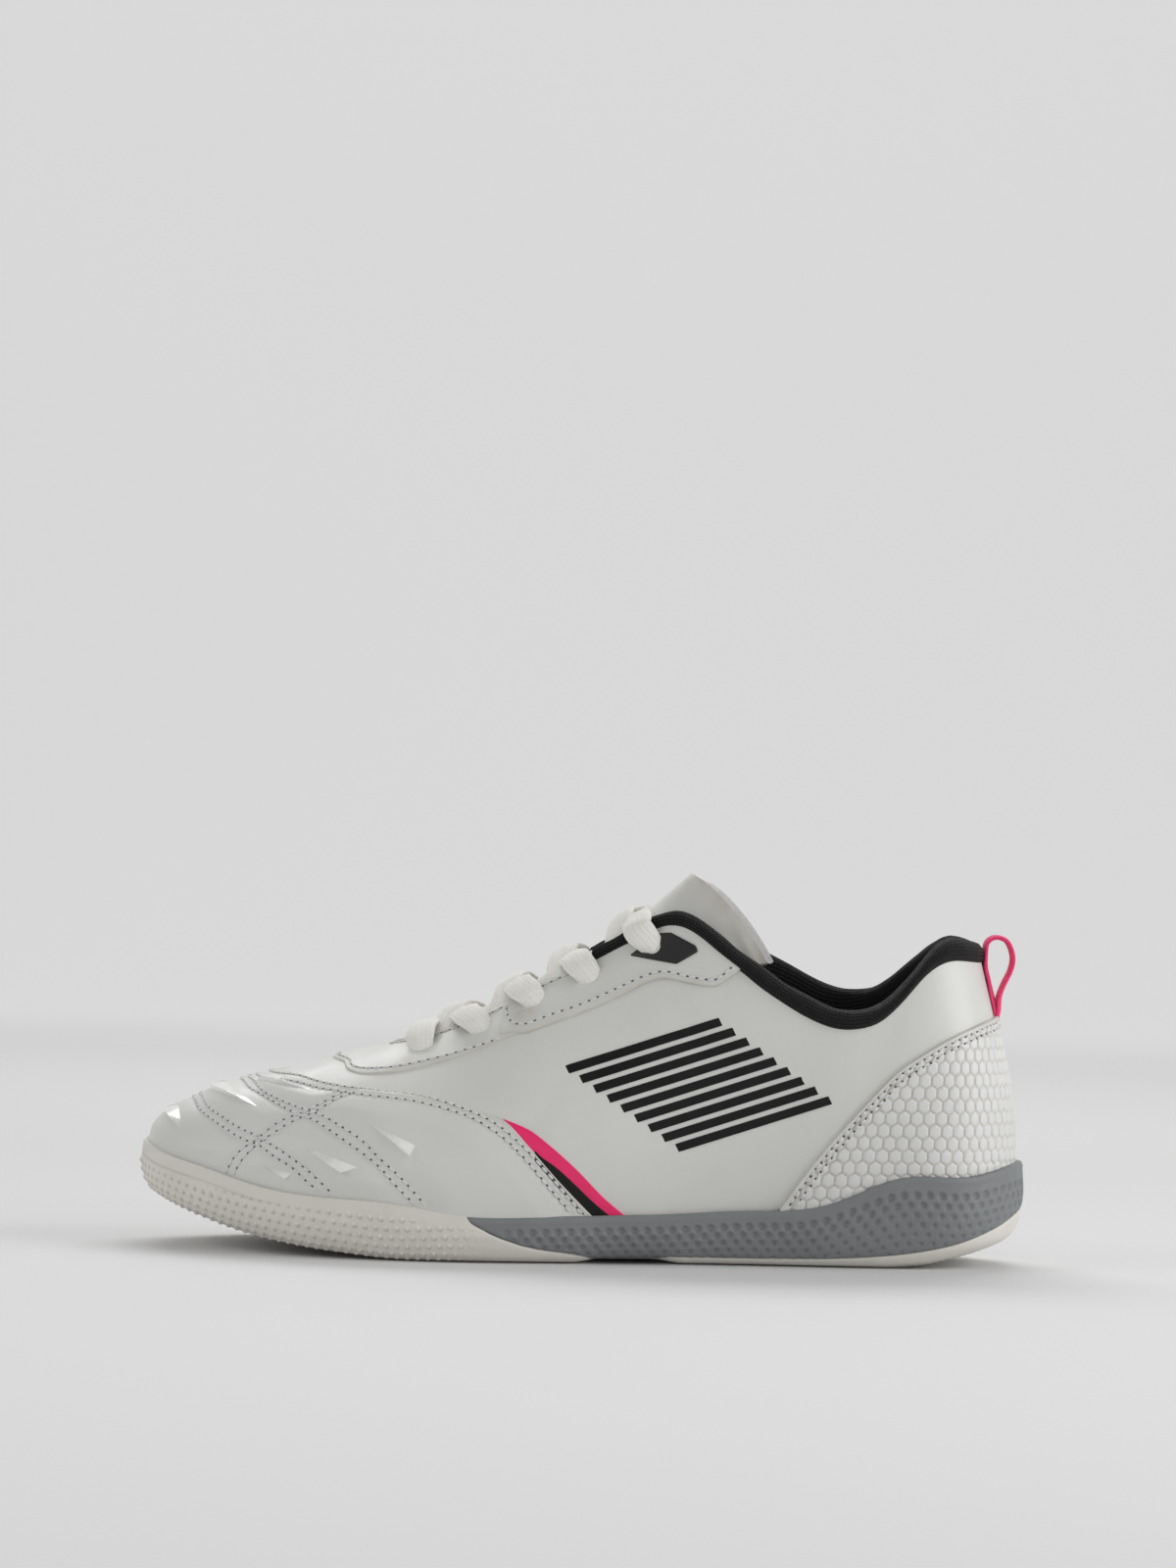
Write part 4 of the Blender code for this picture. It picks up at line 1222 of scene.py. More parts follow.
@dataclass
class Upper:
    """Hollow leather upper with its sewn panels, stripes, print, patch and seams."""

    last: Last
    draper: Draper
    finishes: Finishes
    foot: float = -0.05
    shell_columns: int = 300
    shell_rows: int = 46
    vamp_lift: float = 0.95
    front_stay_lift: float = 0.6
    rear_stay_lift: float = 1.15
    patch_lift: float = 1.6
    pink_lift: float = 0.35
    black_lift: float = 0.6
    quilt_swell: float = 0.55
    quilt_press: float = 0.4
    stay_pitch: float = 2.9
    throat_seam: tuple[float, float] = (137.0, 193.0)
    throat_inset: float = 2.6
    column_step: float = 0.6
    print_lift: float = 0.22
    stay_bow: float = 2.6
    bars: int = 9
    bar_steps: int = 30
    first_bar: tuple[Pixel, Pixel] = ((577, 1092), (737, 1042))
    bar_shift: Pixel = (14, 10)
    bar_width: Pixel = (4, 8)
    vamp_edge: tuple[Pixel, ...] = (
        (605, 1242), (569, 1203), (540, 1170), (512, 1142), (496, 1136),
        (445, 1122), (387, 1113), (330, 1103), (297, 1094),
    )
    vamp_rows: tuple[tuple[Pixel, ...], ...] = (
        ((594, 1239), (560, 1199), (531, 1168), (502, 1145), (473, 1132), (426, 1119), (378, 1113),
         (330, 1106), (300, 1098)),
        ((582, 1237), (560, 1212), (531, 1178), (502, 1153), (473, 1138), (435, 1127), (387, 1120),
         (335, 1113), (296, 1104)),
    )
    quilt_rows: tuple[tuple[Pixel, ...], ...] = (
        ((326, 1216), (315, 1207), (299, 1192), (281, 1181), (262, 1168), (251, 1164), (229, 1151),
         (210, 1138), (199, 1122)),
        ((342, 1221), (326, 1205), (310, 1191), (286, 1174), (265, 1161), (242, 1150),
         (219, 1135), (206, 1119)),
        ((424, 1230), (406, 1212), (387, 1191), (353, 1165), (337, 1154), (321, 1144), (305, 1138),
         (281, 1126), (258, 1113), (249, 1104)),
        ((435, 1231), (410, 1203), (387, 1182), (369, 1164), (353, 1153), (326, 1138), (305, 1131),
         (273, 1117), (257, 1102)),
    )
    cross_rows: tuple[tuple[Pixel, ...], ...] = (
        ((231, 1199), (238, 1184), (248, 1173), (262, 1164), (270, 1157), (289, 1144), (313, 1135),
         (334, 1124), (353, 1114)),
        ((238, 1200), (245, 1188), (258, 1173), (281, 1156), (302, 1144), (323, 1135),
         (345, 1122), (362, 1116)),
    )
    pink_edge: tuple[Pixel, ...] = (
        (638, 1242), (617, 1223), (589, 1194), (560, 1168), (540, 1153), (512, 1141),
    )
    black_edge: tuple[Pixel, ...] = (
        (622, 1242), (604, 1225), (583, 1205), (566, 1190), (552, 1180), (545, 1173),
    )
    front_stay_edge: tuple[Pixel, ...] = (
        (538, 1051), (512, 1062), (484, 1073), (446, 1085), (407, 1094), (378, 1096), (357, 1093),
        (350, 1084),
    )
    front_stay_row: tuple[Pixel, ...] = (
        (512, 1060), (483, 1070), (445, 1081), (406, 1089), (378, 1091), (361, 1089), (356, 1082),
    )
    rear_stay_edge: tuple[Pixel, ...] = (
        (521, 1055), (540, 1054), (579, 1040), (620, 1023), (645, 1011), (667, 1001), (694, 1002),
        (720, 1007), (731, 1007), (744, 999), (756, 990),
    )
    rear_stay_front: Pixel = (512, 1035)
    rear_stay_row: tuple[Pixel, ...] = (
        (518, 1027), (520, 1040), (527, 1047), (541, 1046), (579, 1032), (620, 1015), (645, 1003),
        (667, 994), (694, 995), (720, 1000), (731, 1000), (741, 993), (750, 985),
    )
    eyelet_patch: tuple[Pixel, ...] = (
        (644, 977), (674, 954), (686, 953), (711, 966), (713, 972), (691, 985),
    )
    stains: tuple[tuple[Pixel, float], ...] = (((531, 1038), 3.0), ((541, 1033), 2.4), ((414, 1083), 2.6))
    fins: tuple[Fin, ...] = (
        Fin((189, 1158), (185, 1131), (170, 1138), 1.3),
        Fin((270, 1135), (232, 1107), (216, 1114), 1.3),
        Fin((322, 1115), (284, 1099), (264, 1104), 1.2),
        Fin((305, 1168), (367, 1192), (348, 1198), 1.4),
        Fin((373, 1145), (424, 1170), (418, 1182), 1.3),
        Fin((262, 1186), (298, 1198), (292, 1204), 1.0),
    )

    crease_width: float = 3.0
    creases: tuple[Crease, ...] = (
        Crease(150, 40, 0.55, 0.35, 16),
        Crease(158, 34, 0.6, 0.3, 14),
        Crease(96, 62, -0.7, 0.3, 12),
        Crease(104, 70, -0.8, 0.25, 10),
        Crease(72, 52, 0.5, 0.28, 12),
    )

    def build(self) -> None:
        """Builds every piece of the upper."""
        self.build_shell()
        self.build_vamp()
        self.build_stripes()
        self.build_stays()
        self.build_eyelet_patch()
        self.build_fins()
        self.build_print()

    def shell_relief(self, points: Array) -> Array:
        """Soft creases of the quarters at listed places, and a faint unevenness all over.

        Args:
            points: points of the wall.

        Returns:
            How far each stands out.
        """
        out = 0.12 * speckle(points, 34.0, SEED)
        for crease in self.creases:
            x, z = points[..., 0] - lengthwise(crease.station), points[..., 2] - crease.height
            across = x * math.cos(crease.lean) + z * math.sin(crease.lean)
            along = -x * math.sin(crease.lean) + z * math.cos(crease.lean)
            out -= crease.depth * np.exp(-((across / self.crease_width) ** 2) - (along / crease.reach) ** 2)
        return out

    def build_shell(self) -> None:
        """The wall itself: leather outside, dark lining inside, with a raw edge along the throat."""
        u = np.linspace(0, self.last.period, self.shell_columns, endpoint=False)
        v = np.linspace(self.foot, 1, self.shell_rows)[:, None]
        u, v = np.broadcast_arrays(u, v)
        bare = self.last.face(u, v)
        points = bare + self.shell_relief(bare)[..., None] * self.last.normal(u, v)
        inner = self.last.face(u[::-1, :], v[::-1, :], -WALL)
        edge = np.stack([points[-1], (points[-1] + inner[0]) / 2 + [0, 0, 0.35], inner[0]])
        patches = [
            grid_patch(points, wrap=True, edge=np.exp(-(v - self.foot) / 0.04)),
            grid_patch(edge, wrap=True, look=2),
            grid_patch(inner, wrap=True, look=1),
        ]
        looks = [self.finishes.leather, self.finishes.lining, self.finishes.raw_edge]
        add_piece("upper_shell", patches, looks, Slot.LEATHER, ["upper"])

    def to_toe(self, places: Array, toe: Toe) -> Array:
        """Places of a line, carried on to the toe's middle.

        Args:
            places: the line's places.
            toe: how it goes on.

        Returns:
            The places, with one more where it goes on.
        """
        if toe is Toe.NONE:
            return places
        tip, level = self.last.u_of("toe_tip"), places[-1, 1]
        if toe is Toe.SQUARE:
            share = np.linspace(0, 1, 200)
            forward = self.last.bare(tip, share)[:, 0]
            level = np.interp(-self.last.bare(*places[-1])[0] - self.stay_bow, -forward, share)
        return np.concatenate([places, [[tip, level]]])

    def edge_curve(self, pixels: Sequence[Pixel], toe: Toe = Toe.NONE) -> Curve:
        """Share of the rib along a drawn line.

        Args:
            pixels: the line on the photograph.
            toe: how it goes on to the toe's middle.

        Returns:
            A function of the place, which holds on both sides of the shoe.
        """
        tip = self.last.u_of("toe_tip")
        places = self.draper.places_at(pixels)
        places = places[np.argsort(places[:, 0])]
        rising = np.diff(np.maximum.accumulate(places[:, 0])) > 0.2
        places = self.to_toe(places[np.concatenate([[True], rising])], toe)
        keep = places[:, 0] < tip - 2
        keep[-1] = True
        curve = monotone_curve(*places[keep].T)

        def both_sides(u: Array) -> Array:
            """Share of the rib at a place on either side."""
            return curve(np.where(u > tip, self.last.mirrored(u), u))

        return both_sides

    def chain_on(self, pixels: Sequence[Pixel], side: Side, toe: Toe = Toe.NONE) -> Array:
        """Points of a drawn line on the bare wall of one side."""
        line = self.draper.through(self.to_toe(self.draper.places_at(pixels), toe))
        return self.last.face(self.last.on_side(line[:, 0], side), line[:, 1])

    def pair(
        self, u: Array, low: Array, high: Array, lift: float, rows: int, edge: PanelEdge, **more: Any
    ) -> list[Patch]:
        """A panel of the outer side and its mirror image.

        Args:
            u: places of the columns on the outer side.
            low: the lower line.
            high: the upper line.
            lift: height of its face.
            rows: number of rows.
            edge: the free edges on the outer side.
            more: relief or rounding, all as for one panel.

        Returns:
            The two patches.
        """
        turned = replace(edge, start=edge.end, end=edge.start)
        inner = self.last.mirrored(u)[::-1]
        return [
            panel_patch(self.last, u, low, high, lift, rows, edge, **more),
            panel_patch(self.last, inner, low[::-1], high[::-1], lift, rows, turned, **more),
        ]

    def quilt_relief(self, points: Array, _: Array, v: Array) -> Array:
        """Channels pressed in along the vamp's double seams, leather swelling between, tucked in at the rim.

        Args:
            points: points of the bare wall.
            v: their shares of the rib.

        Returns:
            How far each stands out.
        """
        gap = distance_to(points, self.vamp_chain)
        pressed = self.quilt_press * np.exp(-((gap / 1.5) ** 2))
        quilt = self.quilt_swell * smooth_step(1.5, 8.0, gap) - pressed
        tuck = smooth_step(0.1, 0.0, v) * smooth_step(lengthwise(178), lengthwise(200), points[..., 0])
        return quilt * (1 - tuck) - (self.vamp_lift - 0.15) * tuck

    def build_vamp(self) -> None:
        """The quilted toe panel with its double seams."""
        rows = [(r, Toe.LEVEL) for r in self.vamp_rows + self.quilt_rows]
        rows += [(r, Toe.NONE) for r in self.cross_rows]
        chains = [self.chain_on(r, side, toe) for side in Side for r, toe in rows]
        self.vamp_chain = np.concatenate(chains)
        self.vamp_v = self.edge_curve(self.vamp_edge, Toe.LEVEL)
        self.vamp_start = self.draper.place(self.vamp_edge[0])[0]
        u = np.arange(self.vamp_start, self.last.mirrored(self.vamp_start), self.column_step)
        low, high = np.full_like(u, self.foot), np.maximum(self.vamp_v(u), self.foot + 0.01)
        self.vamp = panel_patch(self.last, u, low, high, self.vamp_lift, 56, FREE_TOP, self.quilt_relief)
        add_piece("vamp_panel", [self.vamp], [self.finishes.leather], Slot.LEATHER)
        seam = Seam(Skin(self.vamp))
        add_seams("vamp_seams", [p for chain in chains for p in seam.patches(chain)], self.finishes)

    def build_stripes(self) -> None:
        """The pink stripe and the black one over it, both coming from under the vamp's edge."""
        for name, pixels, lift, look in (
            ("pink_stripe", self.pink_edge, self.pink_lift, self.finishes.pink),
            ("black_stripe", self.black_edge, self.black_lift, self.finishes.black),
        ):
            edge = self.edge_curve(pixels)
            places = self.draper.places_at(pixels)[:, 0]
            u = np.arange(places.min(), places.max(), self.column_step)
            under = np.where(u < self.vamp_start, self.foot, np.maximum(self.vamp_v(u) - 0.03, self.foot))
            high = np.maximum(np.where(u < places[0] + 0.1, 0.0, edge(u)), under + 0.005)
            add_piece(name, self.pair(u, under, high, lift, 6, FREE_TOP, rounding=0.4), [look], Slot.LEATHER)

    def build_stays(self) -> None:
        """Front eyelet stay round the throat's end, and the rear one on each side, with their seams."""
        looks = [self.finishes.leather]
        start = self.draper.place(self.front_stay_edge[0])[0]
        u = np.arange(start, self.last.mirrored(start), self.column_step)
        low = self.edge_curve(self.front_stay_edge, Toe.SQUARE)(u)
        edge, top = PanelEdge(low=True, high=True), np.ones_like(u)
        front = panel_patch(self.last, u, low, top, self.front_stay_lift, 16, edge, self.stay_relief)
        start = self.draper.places_at(self.rear_stay_edge)[:, 0].min()
        u = np.arange(start, self.draper.place(self.rear_stay_front)[0], self.column_step)
        low = self.edge_curve(self.rear_stay_edge)(u) + 0.02 * smooth_step(3.5, 0.0, u[-1] - u) ** 3
        edge = PanelEdge(low=True, high=True, end=True)
        rear = self.pair(u, low, np.ones_like(u), self.rear_stay_lift, 26, edge, relief=self.stay_relief)
        for panel in (front, *rear):
            panel.values["soil"] = self.smudges(panel.points)
        add_piece("front_eyelet_stay", [front], looks, Slot.LEATHER)
        add_piece("rear_eyelet_stays", rear, looks, Slot.LEATHER)
        self.build_stay_seams(front, rear)

    def smudges(self, points: Array) -> Array:
        """Tan stains beside two of the eyelets.

        Args:
            points: points of a stay.

        Returns:
            How soiled each is, from 0 to 1.
        """
        out = np.zeros(len(points))
        for pixel, size in self.stains:
            gap = np.linalg.norm(points - self.last.face(*self.draper.place(pixel)), axis=1)
            out = np.maximum(out, 0.75 * np.exp(-((gap / size) ** 2)))
        return out

    def stay_relief(self, points: Array, *_: Array) -> Array:
        """Faint unevenness of the stays, with the wall's own creases."""
        return self.shell_relief(points) + 0.08 * speckle(points, 12.0, SEED + 1)

    def build_stay_seams(self, front: Patch, rear: list[Patch]) -> None:
        """Single seams inside the stays' edges and along the throat.

        Args:
            front: the front stay.
            rear: the two rear stays.
        """
        patches: list[Patch] = []
        for side in Side:
            u = np.linspace(*(self.last.u_at_top(station, side) for station in self.throat_seam), 40)
            for panels, chain in (
                ([front], self.chain_on(self.front_stay_row, side, Toe.SQUARE)),
                (rear, self.chain_on(self.rear_stay_row, side)),
                ([front, *rear], self.last.face(u, self.last.v_below_top(u, self.throat_inset))),
            ):
                patches += Seam(Skin(*panels), pitch=self.stay_pitch).patches(chain)
        add_seams("stay_seams", patches, self.finishes)

    def build_eyelet_patch(self) -> None:
        """Black five-cornered patch under the top eyelet of each side."""
        corners = np.array(self.eyelet_patch, float)
        middle = corners.mean(0)
        outline = even_chain(np.concatenate([corners, corners[:1]]), 1.2)[:-1]
        outline = (np.roll(outline, 1, 0) + np.roll(outline, -1, 0) + outline) / 3
        shares = np.array([1.0, 0.99, 0.96, 0.9, 0.7, 0.45, 0.2, 0.02])
        lifts = self.patch_lift * np.array([0.55, 0.86, 0.97, 1, 1, 1, 1, 1])
        places = self.draper.places_at(middle + shares[:, None, None] * (outline - middle)[None])
        patches = []
        for side in Side:
            points = self.last.face(self.last.on_side(places[..., 0], side), places[..., 1], lifts[:, None])
            patches.append(grid_patch(points, wrap=True).facing((0, side.value, 0)))
        add_piece("eyelet_patches", patches, [self.finishes.black_leather], Slot.LEATHER)

    def build_fins(self) -> None:
        """Raised glossy wedges between the vamp's seams, with a painted highlight: lighter than the leather
        at their broad ends, fading back to it towards their points.
        """
        along = np.concatenate([np.linspace(0.02, 0.97, 16), [1.0, 1.0]])
        across = np.array([-1.0, -0.75, -0.5, -0.25, 0.0, 0.25, 0.5, 0.68, 0.75, 0.85, 1.0])
        # Painted highlight fade: full at the broad end, plain white towards the point.
        highlight_fade = 1.7 * (1 - smooth_step(0.35, 1.0, along))
        blade = np.minimum((across + 1) / 1.75, (1 - across) / 0.25)
        skin = Skin(self.vamp)
        patches = []
        for fin in self.fins:
            tip, a, b = (np.array(p, float) for p in (fin.point, fin.corner_a, fin.corner_b))
            middle, half = (a + b) / 2 - tip, (b - a) / 2
            drawn = tip + along[:, None, None] * (middle + across[None, :, None] * half)
            places = self.draper.places_at(drawn)
            rise = fin.height * smooth_step(0, 0.75, along)[:, None] * blade
            rise[-1] = 0
            for side in Side:
                u = self.last.on_side(places[..., 0], side)
                flat = self.last.face(u, places[..., 1], self.vamp_lift).reshape(-1, 3)
                seat, normals = skin.seat(flat)
                points = (seat + normals * (rise.reshape(-1, 1) - 0.06)).reshape(*u.shape, 3)
                patches.append(grid_patch(points, soil=highlight_fade[:, None]).facing((0, 0, 1)))
        add_piece("toe_fins", patches, [self.finishes.fin], Slot.LEATHER)

    def build_print(self) -> None:
        """Plain field of slanting black bars on each quarter."""
        along = np.linspace(0, 1, self.bar_steps)
        across = np.array([-1.0, -1.0, 0.0, 1.0, 1.0]) / 2
        flat = np.array([0, 1, 1, 1, 0])[:, None] * np.concatenate([[0], np.ones(self.bar_steps - 2), [0]])
        lean = across[:, None, None] * np.array(self.bar_width)
        patches = []
        for k in range(self.bars):
            start, end = (np.array(p) + k * np.array(self.bar_shift) for p in self.first_bar)
            places = self.draper.places_at(start + along[None, :, None] * (end - start) + lean)
            for side in Side:
                u = self.last.on_side(places[..., 0], side)
                rise = self.shell_relief(self.last.face(u, places[..., 1]))
                out = rise - 0.1 + flat * (self.print_lift + 0.1)
                patch = grid_patch(self.last.face(u, places[..., 1], out))
                patches.append(patch.facing((0, side.value, 0)))
        add_piece("quarter_print", patches, [self.finishes.black], Slot.LEATHER, crease_deg=25)


class SidewallPoint(NamedTuple):
    """A point of the sole's sidewall profile: inset from the outline, and share of the height."""

    inset: float
    level: float


class SidePoint(NamedTuple):
    """A point in side view: distance from the heel's end, and height."""

    station: float
    height: float


def hex_gap(x: Array, y: Array, pitch: float) -> Array:
    """Distance inside the border of upright hexagons in a close field.

    Args:
        x: places along the rows.
        y: places across the rows.
        pitch: distance between neighbours in a row.

    Returns:
        The distances, 0 on a border.
    """
    period = np.array([pitch, pitch * math.sqrt(3)])
    q = np.stack([x, y], -1)
    first = np.mod(q, period) - period / 2
    second = np.mod(q - period / 2, period) - period / 2
    nearer = (first**2).sum(-1, keepdims=True) < (second**2).sum(-1, keepdims=True)
    g = np.abs(np.where(nearer, first, second))
    return pitch / 2 - np.maximum(g[..., 0], g[..., 0] / 2 + g[..., 1] * math.sqrt(3) / 2)


@dataclass
class Sole:
    """Cupsole of three rubber pieces: nubbed pale forefoot, dented grey rear cup, pale heel pad."""

    last: Last
    finishes: Finishes
    fine_step: float = 0.36
    step: float = 0.48
    tread_step: float = 0.62
    lip_depth: float = 3.4
    groove: float = 0.35
    tread_pitch: float = 9.5
    tread_depth: float = 1.1
    tread_inset: float = 9.0
    tread_margin: float = 3.0
    arch_height: float = 1.2
    arch_taper: float = 9.0
    typical_height: float = 16.0
    cup_front: float = 169.4
    forefoot_back: float = 129.0
    heel_front: float = 113.0
    overlap: float = 6.0
    seam_gap: float = 0.15
    seam_hem: float = -1.6
    nub_pitch: float = 3.2
    nub_row: float = 2.75
    nub_foot: float = 1.4
    dent_pitch: float = 3.85
    profile: tuple[SidewallPoint, ...] = (
        SidewallPoint(9.0, 0.00), SidewallPoint(5.0, 0.05), SidewallPoint(2.2, 0.18),
        SidewallPoint(0.6, 0.40), SidewallPoint(0.0, 0.62), SidewallPoint(0.3, 0.85),
        SidewallPoint(1.0, 1.00),
    )
    forefoot_seam: tuple[SidePoint, ...] = (
        SidePoint(129.0, 1.05), SidePoint(137.0, 3.0), SidePoint(147.0, 4.4), SidePoint(155.6, 6.7),
        SidePoint(163.4, 10.1), SidePoint(168.5, 13.7), SidePoint(169.5, 45.0),
    )
    heel_seam: tuple[SidePoint, ...] = (
        SidePoint(-6.0, 21.0), SidePoint(1.7, 16.5), SidePoint(8.4, 12.5), SidePoint(23.4, 7.2),
        SidePoint(44.5, 3.8), SidePoint(65.0, 2.5), SidePoint(85.0, 2.2), SidePoint(106.0, 2.15),
        SidePoint(113.0, 1.05),
    )

    def __post_init__(self) -> None:
        """Works out the profile's and the seams' curves."""
        insets, levels = zip(*self.profile)
        self.inset_at = monotone_curve(levels, insets)
        self.levels = np.linspace(0, 1, 200)
        run = lengths_along(np.column_stack([self.inset_at(self.levels), self.levels * self.typical_height]))
        self.shares = run / run[-1]
        self.profile_length = float(run[-1])
        self.fore_height = monotone_curve(*zip(*self.forefoot_seam))
        self.heel_height = monotone_curve(*zip(*self.heel_seam))

    def level_at(self, share: Array) -> Array:
        """Share of the sidewall's height at a share of its profile's length."""
        return np.interp(share, self.shares, self.levels)

    def share_at(self, level: Array) -> Array:
        """Share of the sidewall's profile at a share of its height."""
        return np.interp(level, self.levels, self.shares)

    def tread(self, x: Array) -> Array:
        """Height of the tread, with the low arch where the two pads thin out."""
        s, fore, heel = np.asarray(x) + SHOE_LENGTH / 2, self.forefoot_back, self.heel_front
        arch = smooth_step(fore + self.arch_taper, fore, s) * smooth_step(heel - self.arch_taper, heel, s)
        return self.last.tread(x) + self.arch_height * arch

    def tread_under(self, u: Array) -> Array:
        """Height of the tread at the sidewall's foot."""
        return self.tread(self.last.inset(u, self.tread_inset)[..., 0])

    def station(self, u: Array) -> Array:
        """Distance from the heel's end, of the outline's places."""
        return self.last.outline(u)[..., 0] + SHOE_LENGTH / 2

    def u_at(self, station: float, ribs: tuple[str, str]) -> float:
        """Place on the outer side at a distance from the heel's end, looked for between two ribs."""
        search = np.linspace(*(self.last.u_of(rib) for rib in ribs), 400)
        return float(np.interp(station, self.station(search), search))

    def wall(self, u: Array, level: Array, out: Array | float = 0.0) -> Array:
        """Points of the sidewall.

        Args:
            u: places round the outline.
            level: shares of the sidewall's height.
            out: how far they are moved out, square to the wall.

        Returns:
            The points.
        """
        tread, rim, nudge = self.tread_under(u), self.last.rim(u), 0.004
        low, high = np.maximum(level - nudge, 0), np.minimum(level + nudge, 1)
        slope = (self.inset_at(high) - self.inset_at(low)) / np.maximum((high - low) * (rim - tread), 1e-6)
        tilt = 1 / np.sqrt(1 + slope**2)
        plan = self.last.inset(u, self.inset_at(level) - np.asarray(out) * tilt)
        height = tread + level * (rim - tread) + np.asarray(out) * tilt * slope
        return np.concatenate([plan, np.maximum(height, 0)[..., None]], -1)

    def seam_level(self, u: Array, heights: Array) -> Array:
        """Share of the sidewall's height at seam heights."""
        tread = self.tread_under(u)
        return np.clip((heights - tread) / (self.last.rim(u) - tread), 0, 1)

    def side_patch(
        self, u: Array, low: Array, high: Array, rows: int, dress: Callable[..., tuple[Array, Array]]
    ) -> Patch:
        """Sidewall between two levels, with its moulded dots.

        Args:
            u: places of the columns.
            low: lower level for each column.
            high: upper level for each column.
            rows: number of rows.
            dress: gives the dots' height and painted shade from the places and the lengths up and down the
                wall.

        Returns:
            The patch, with hems turned in at seams.
        """
        share = np.linspace(0, 1, rows)[:, None]
        span = (self.share_at(high) - self.share_at(low))
        w = self.share_at(low) + share * span
        level = self.level_at(w)
        places = np.broadcast_to(u, level.shape)
        true = self.profile_length * (self.last.rim(u) - self.tread_under(u)) / self.typical_height
        rise, hollow = dress(places, w * true, (1 - w) * true)
        hems = []
        for line, seam, gap in ((low, low > 0.001, share), (high, high < 0.999, 1 - share)):
            rise = rise - self.groove * np.exp(-gap * (span * self.profile_length) / 0.45) * seam
            hems.append(self.wall(u, line, np.where(seam, self.seam_hem, 0.0))[None])
        points = np.concatenate([hems[0], self.wall(places, level, rise), hems[1]])
        return grid_patch(points, hollow=np.concatenate([hollow[:1], hollow, hollow[-1:]]))

    def lip_patch(self, u: Array) -> Patch:
        """The rim's rounded lip and its short inner wall against the upper.

        Args:
            u: places of the columns.

        Returns:
            The patch.
        """
        ledge, rim, level = self.last.ledge(u), self.last.rim(u), np.zeros_like(u)
        profile = (
            (level + 1.0, 0.0), (level + 1.25, 0.16), (level + 1.6, 0.22), (ledge - 0.9, 0.2),
            (ledge - 0.35, 0.05), (ledge + 0.1, -0.4), (ledge + 0.4, -self.lip_depth),
        )
        rows = [np.column_stack([self.last.inset(u, inset), rim + rise]) for inset, rise in profile]
        return grid_patch(np.stack(rows), hollow=0.0)

    def tread_patch(self, first: float, end: float, patterned: bool = True) -> Patch:
        """Underside of one piece.

        Args:
            first: where it starts, from the heel's end.
            end: where it ends.
            patterned: whether it has the cut hexagon field, or is the plain arch tucked in at both pads.

        Returns:
            The patch.
        """
        u = np.linspace(0, self.last.period, 1200, endpoint=False)
        edge = self.last.inset(u, self.tread_inset)
        heel = np.argmin(edge[:, 0])
        tip = (np.argmax(edge[:, 0]) - heel) % len(u)
        chain = np.roll(edge, -heel, axis=0)
        outer, inner = chain[: tip + 1], np.concatenate([chain[tip:], chain[:1]])[::-1]
        low, high = max(lengthwise(first), edge[:, 0].min()), min(lengthwise(end), edge[:, 0].max())
        x = np.linspace(low, high, int((high - low) / self.tread_step))
        y_out, y_in = (np.interp(x, *border.T) for border in (outer, inner))
        across = np.linspace(0, 1, int(80 / self.tread_step))[:, None]
        y = y_out + across * (y_in - y_out)
        places = np.broadcast_to(x, y.shape)
        if patterned:
            gap = hex_gap(places, y, self.tread_pitch)
            side = np.minimum(across, 1 - across) * np.abs(y_out - y_in)
            side = np.minimum(side, np.minimum(x - low, high - x))
            frame = 1 - smooth_step(0.35, 0.95, np.abs(side - self.tread_margin))
            cut = (1 - smooth_step(0.35, 0.95, gap)) * (side > self.tread_margin)
            rise = self.tread_depth * np.maximum(cut, frame)
        else:
            s, fore, heel = places + SHOE_LENGTH / 2, self.forefoot_back, self.heel_front
            rise = 1.5 * np.maximum(smooth_step(fore, fore + 2, s), smooth_step(heel, heel - 2, s))
        points = np.stack([places, y, self.tread(places) + rise], -1)
        # Painted shade: the cut grooves and the arch's tucked ends are darker in step with their depth.
        return grid_patch(points, hollow=rise / self.tread_depth * 0.6)

    @staticmethod
    def staggered(
        u: Array, reach: Array, pitch: float, row_gap: Array | float, first: float = -math.inf
    ) -> tuple[Array, Array, Array]:
        """Places within a field of dots in staggered rows.

        Args:
            u: places round the outline.
            reach: lengths up or down the wall from the first row.
            pitch: distance between the dots of a row.
            row_gap: distance between rows.
            first: number of the lowest row.

        Returns:
            Offsets from the nearest dot along and across its row, and the row's number.
        """
        row = np.maximum(np.round(reach / row_gap), first)
        along = np.mod(u + np.mod(row, 2) * pitch / 2, pitch) - pitch / 2
        return along, reach - row * row_gap, row

    def nubs(self, u: Array, up: Array, down: Array) -> tuple[Array, Array]:
        """Raised dots of the forefoot in staggered rows below a plain lip, with a fine line at the toe.

        Args:
            u: places round the outline.
            up: lengths up the wall.
            down: lengths down from its top.

        Returns:
            The relief, and how much painted shade each place gets: a painted shadow crescent beside each dot
            and painted shade in the fine line.
        """
        station = self.station(u)
        a, b, _ = self.staggered(u, up - self.nub_foot, self.nub_pitch, self.nub_row)
        toe = smooth_step(225, 262, station)
        field_share = smooth_step(3.0, 4.2, down - 2.2 * toe) * smooth_step(160, 178, station)
        field_share = field_share * smooth_step(2.4, 4.4, up)
        nub = np.exp(-((np.hypot(a, b) / 0.62) ** 4))
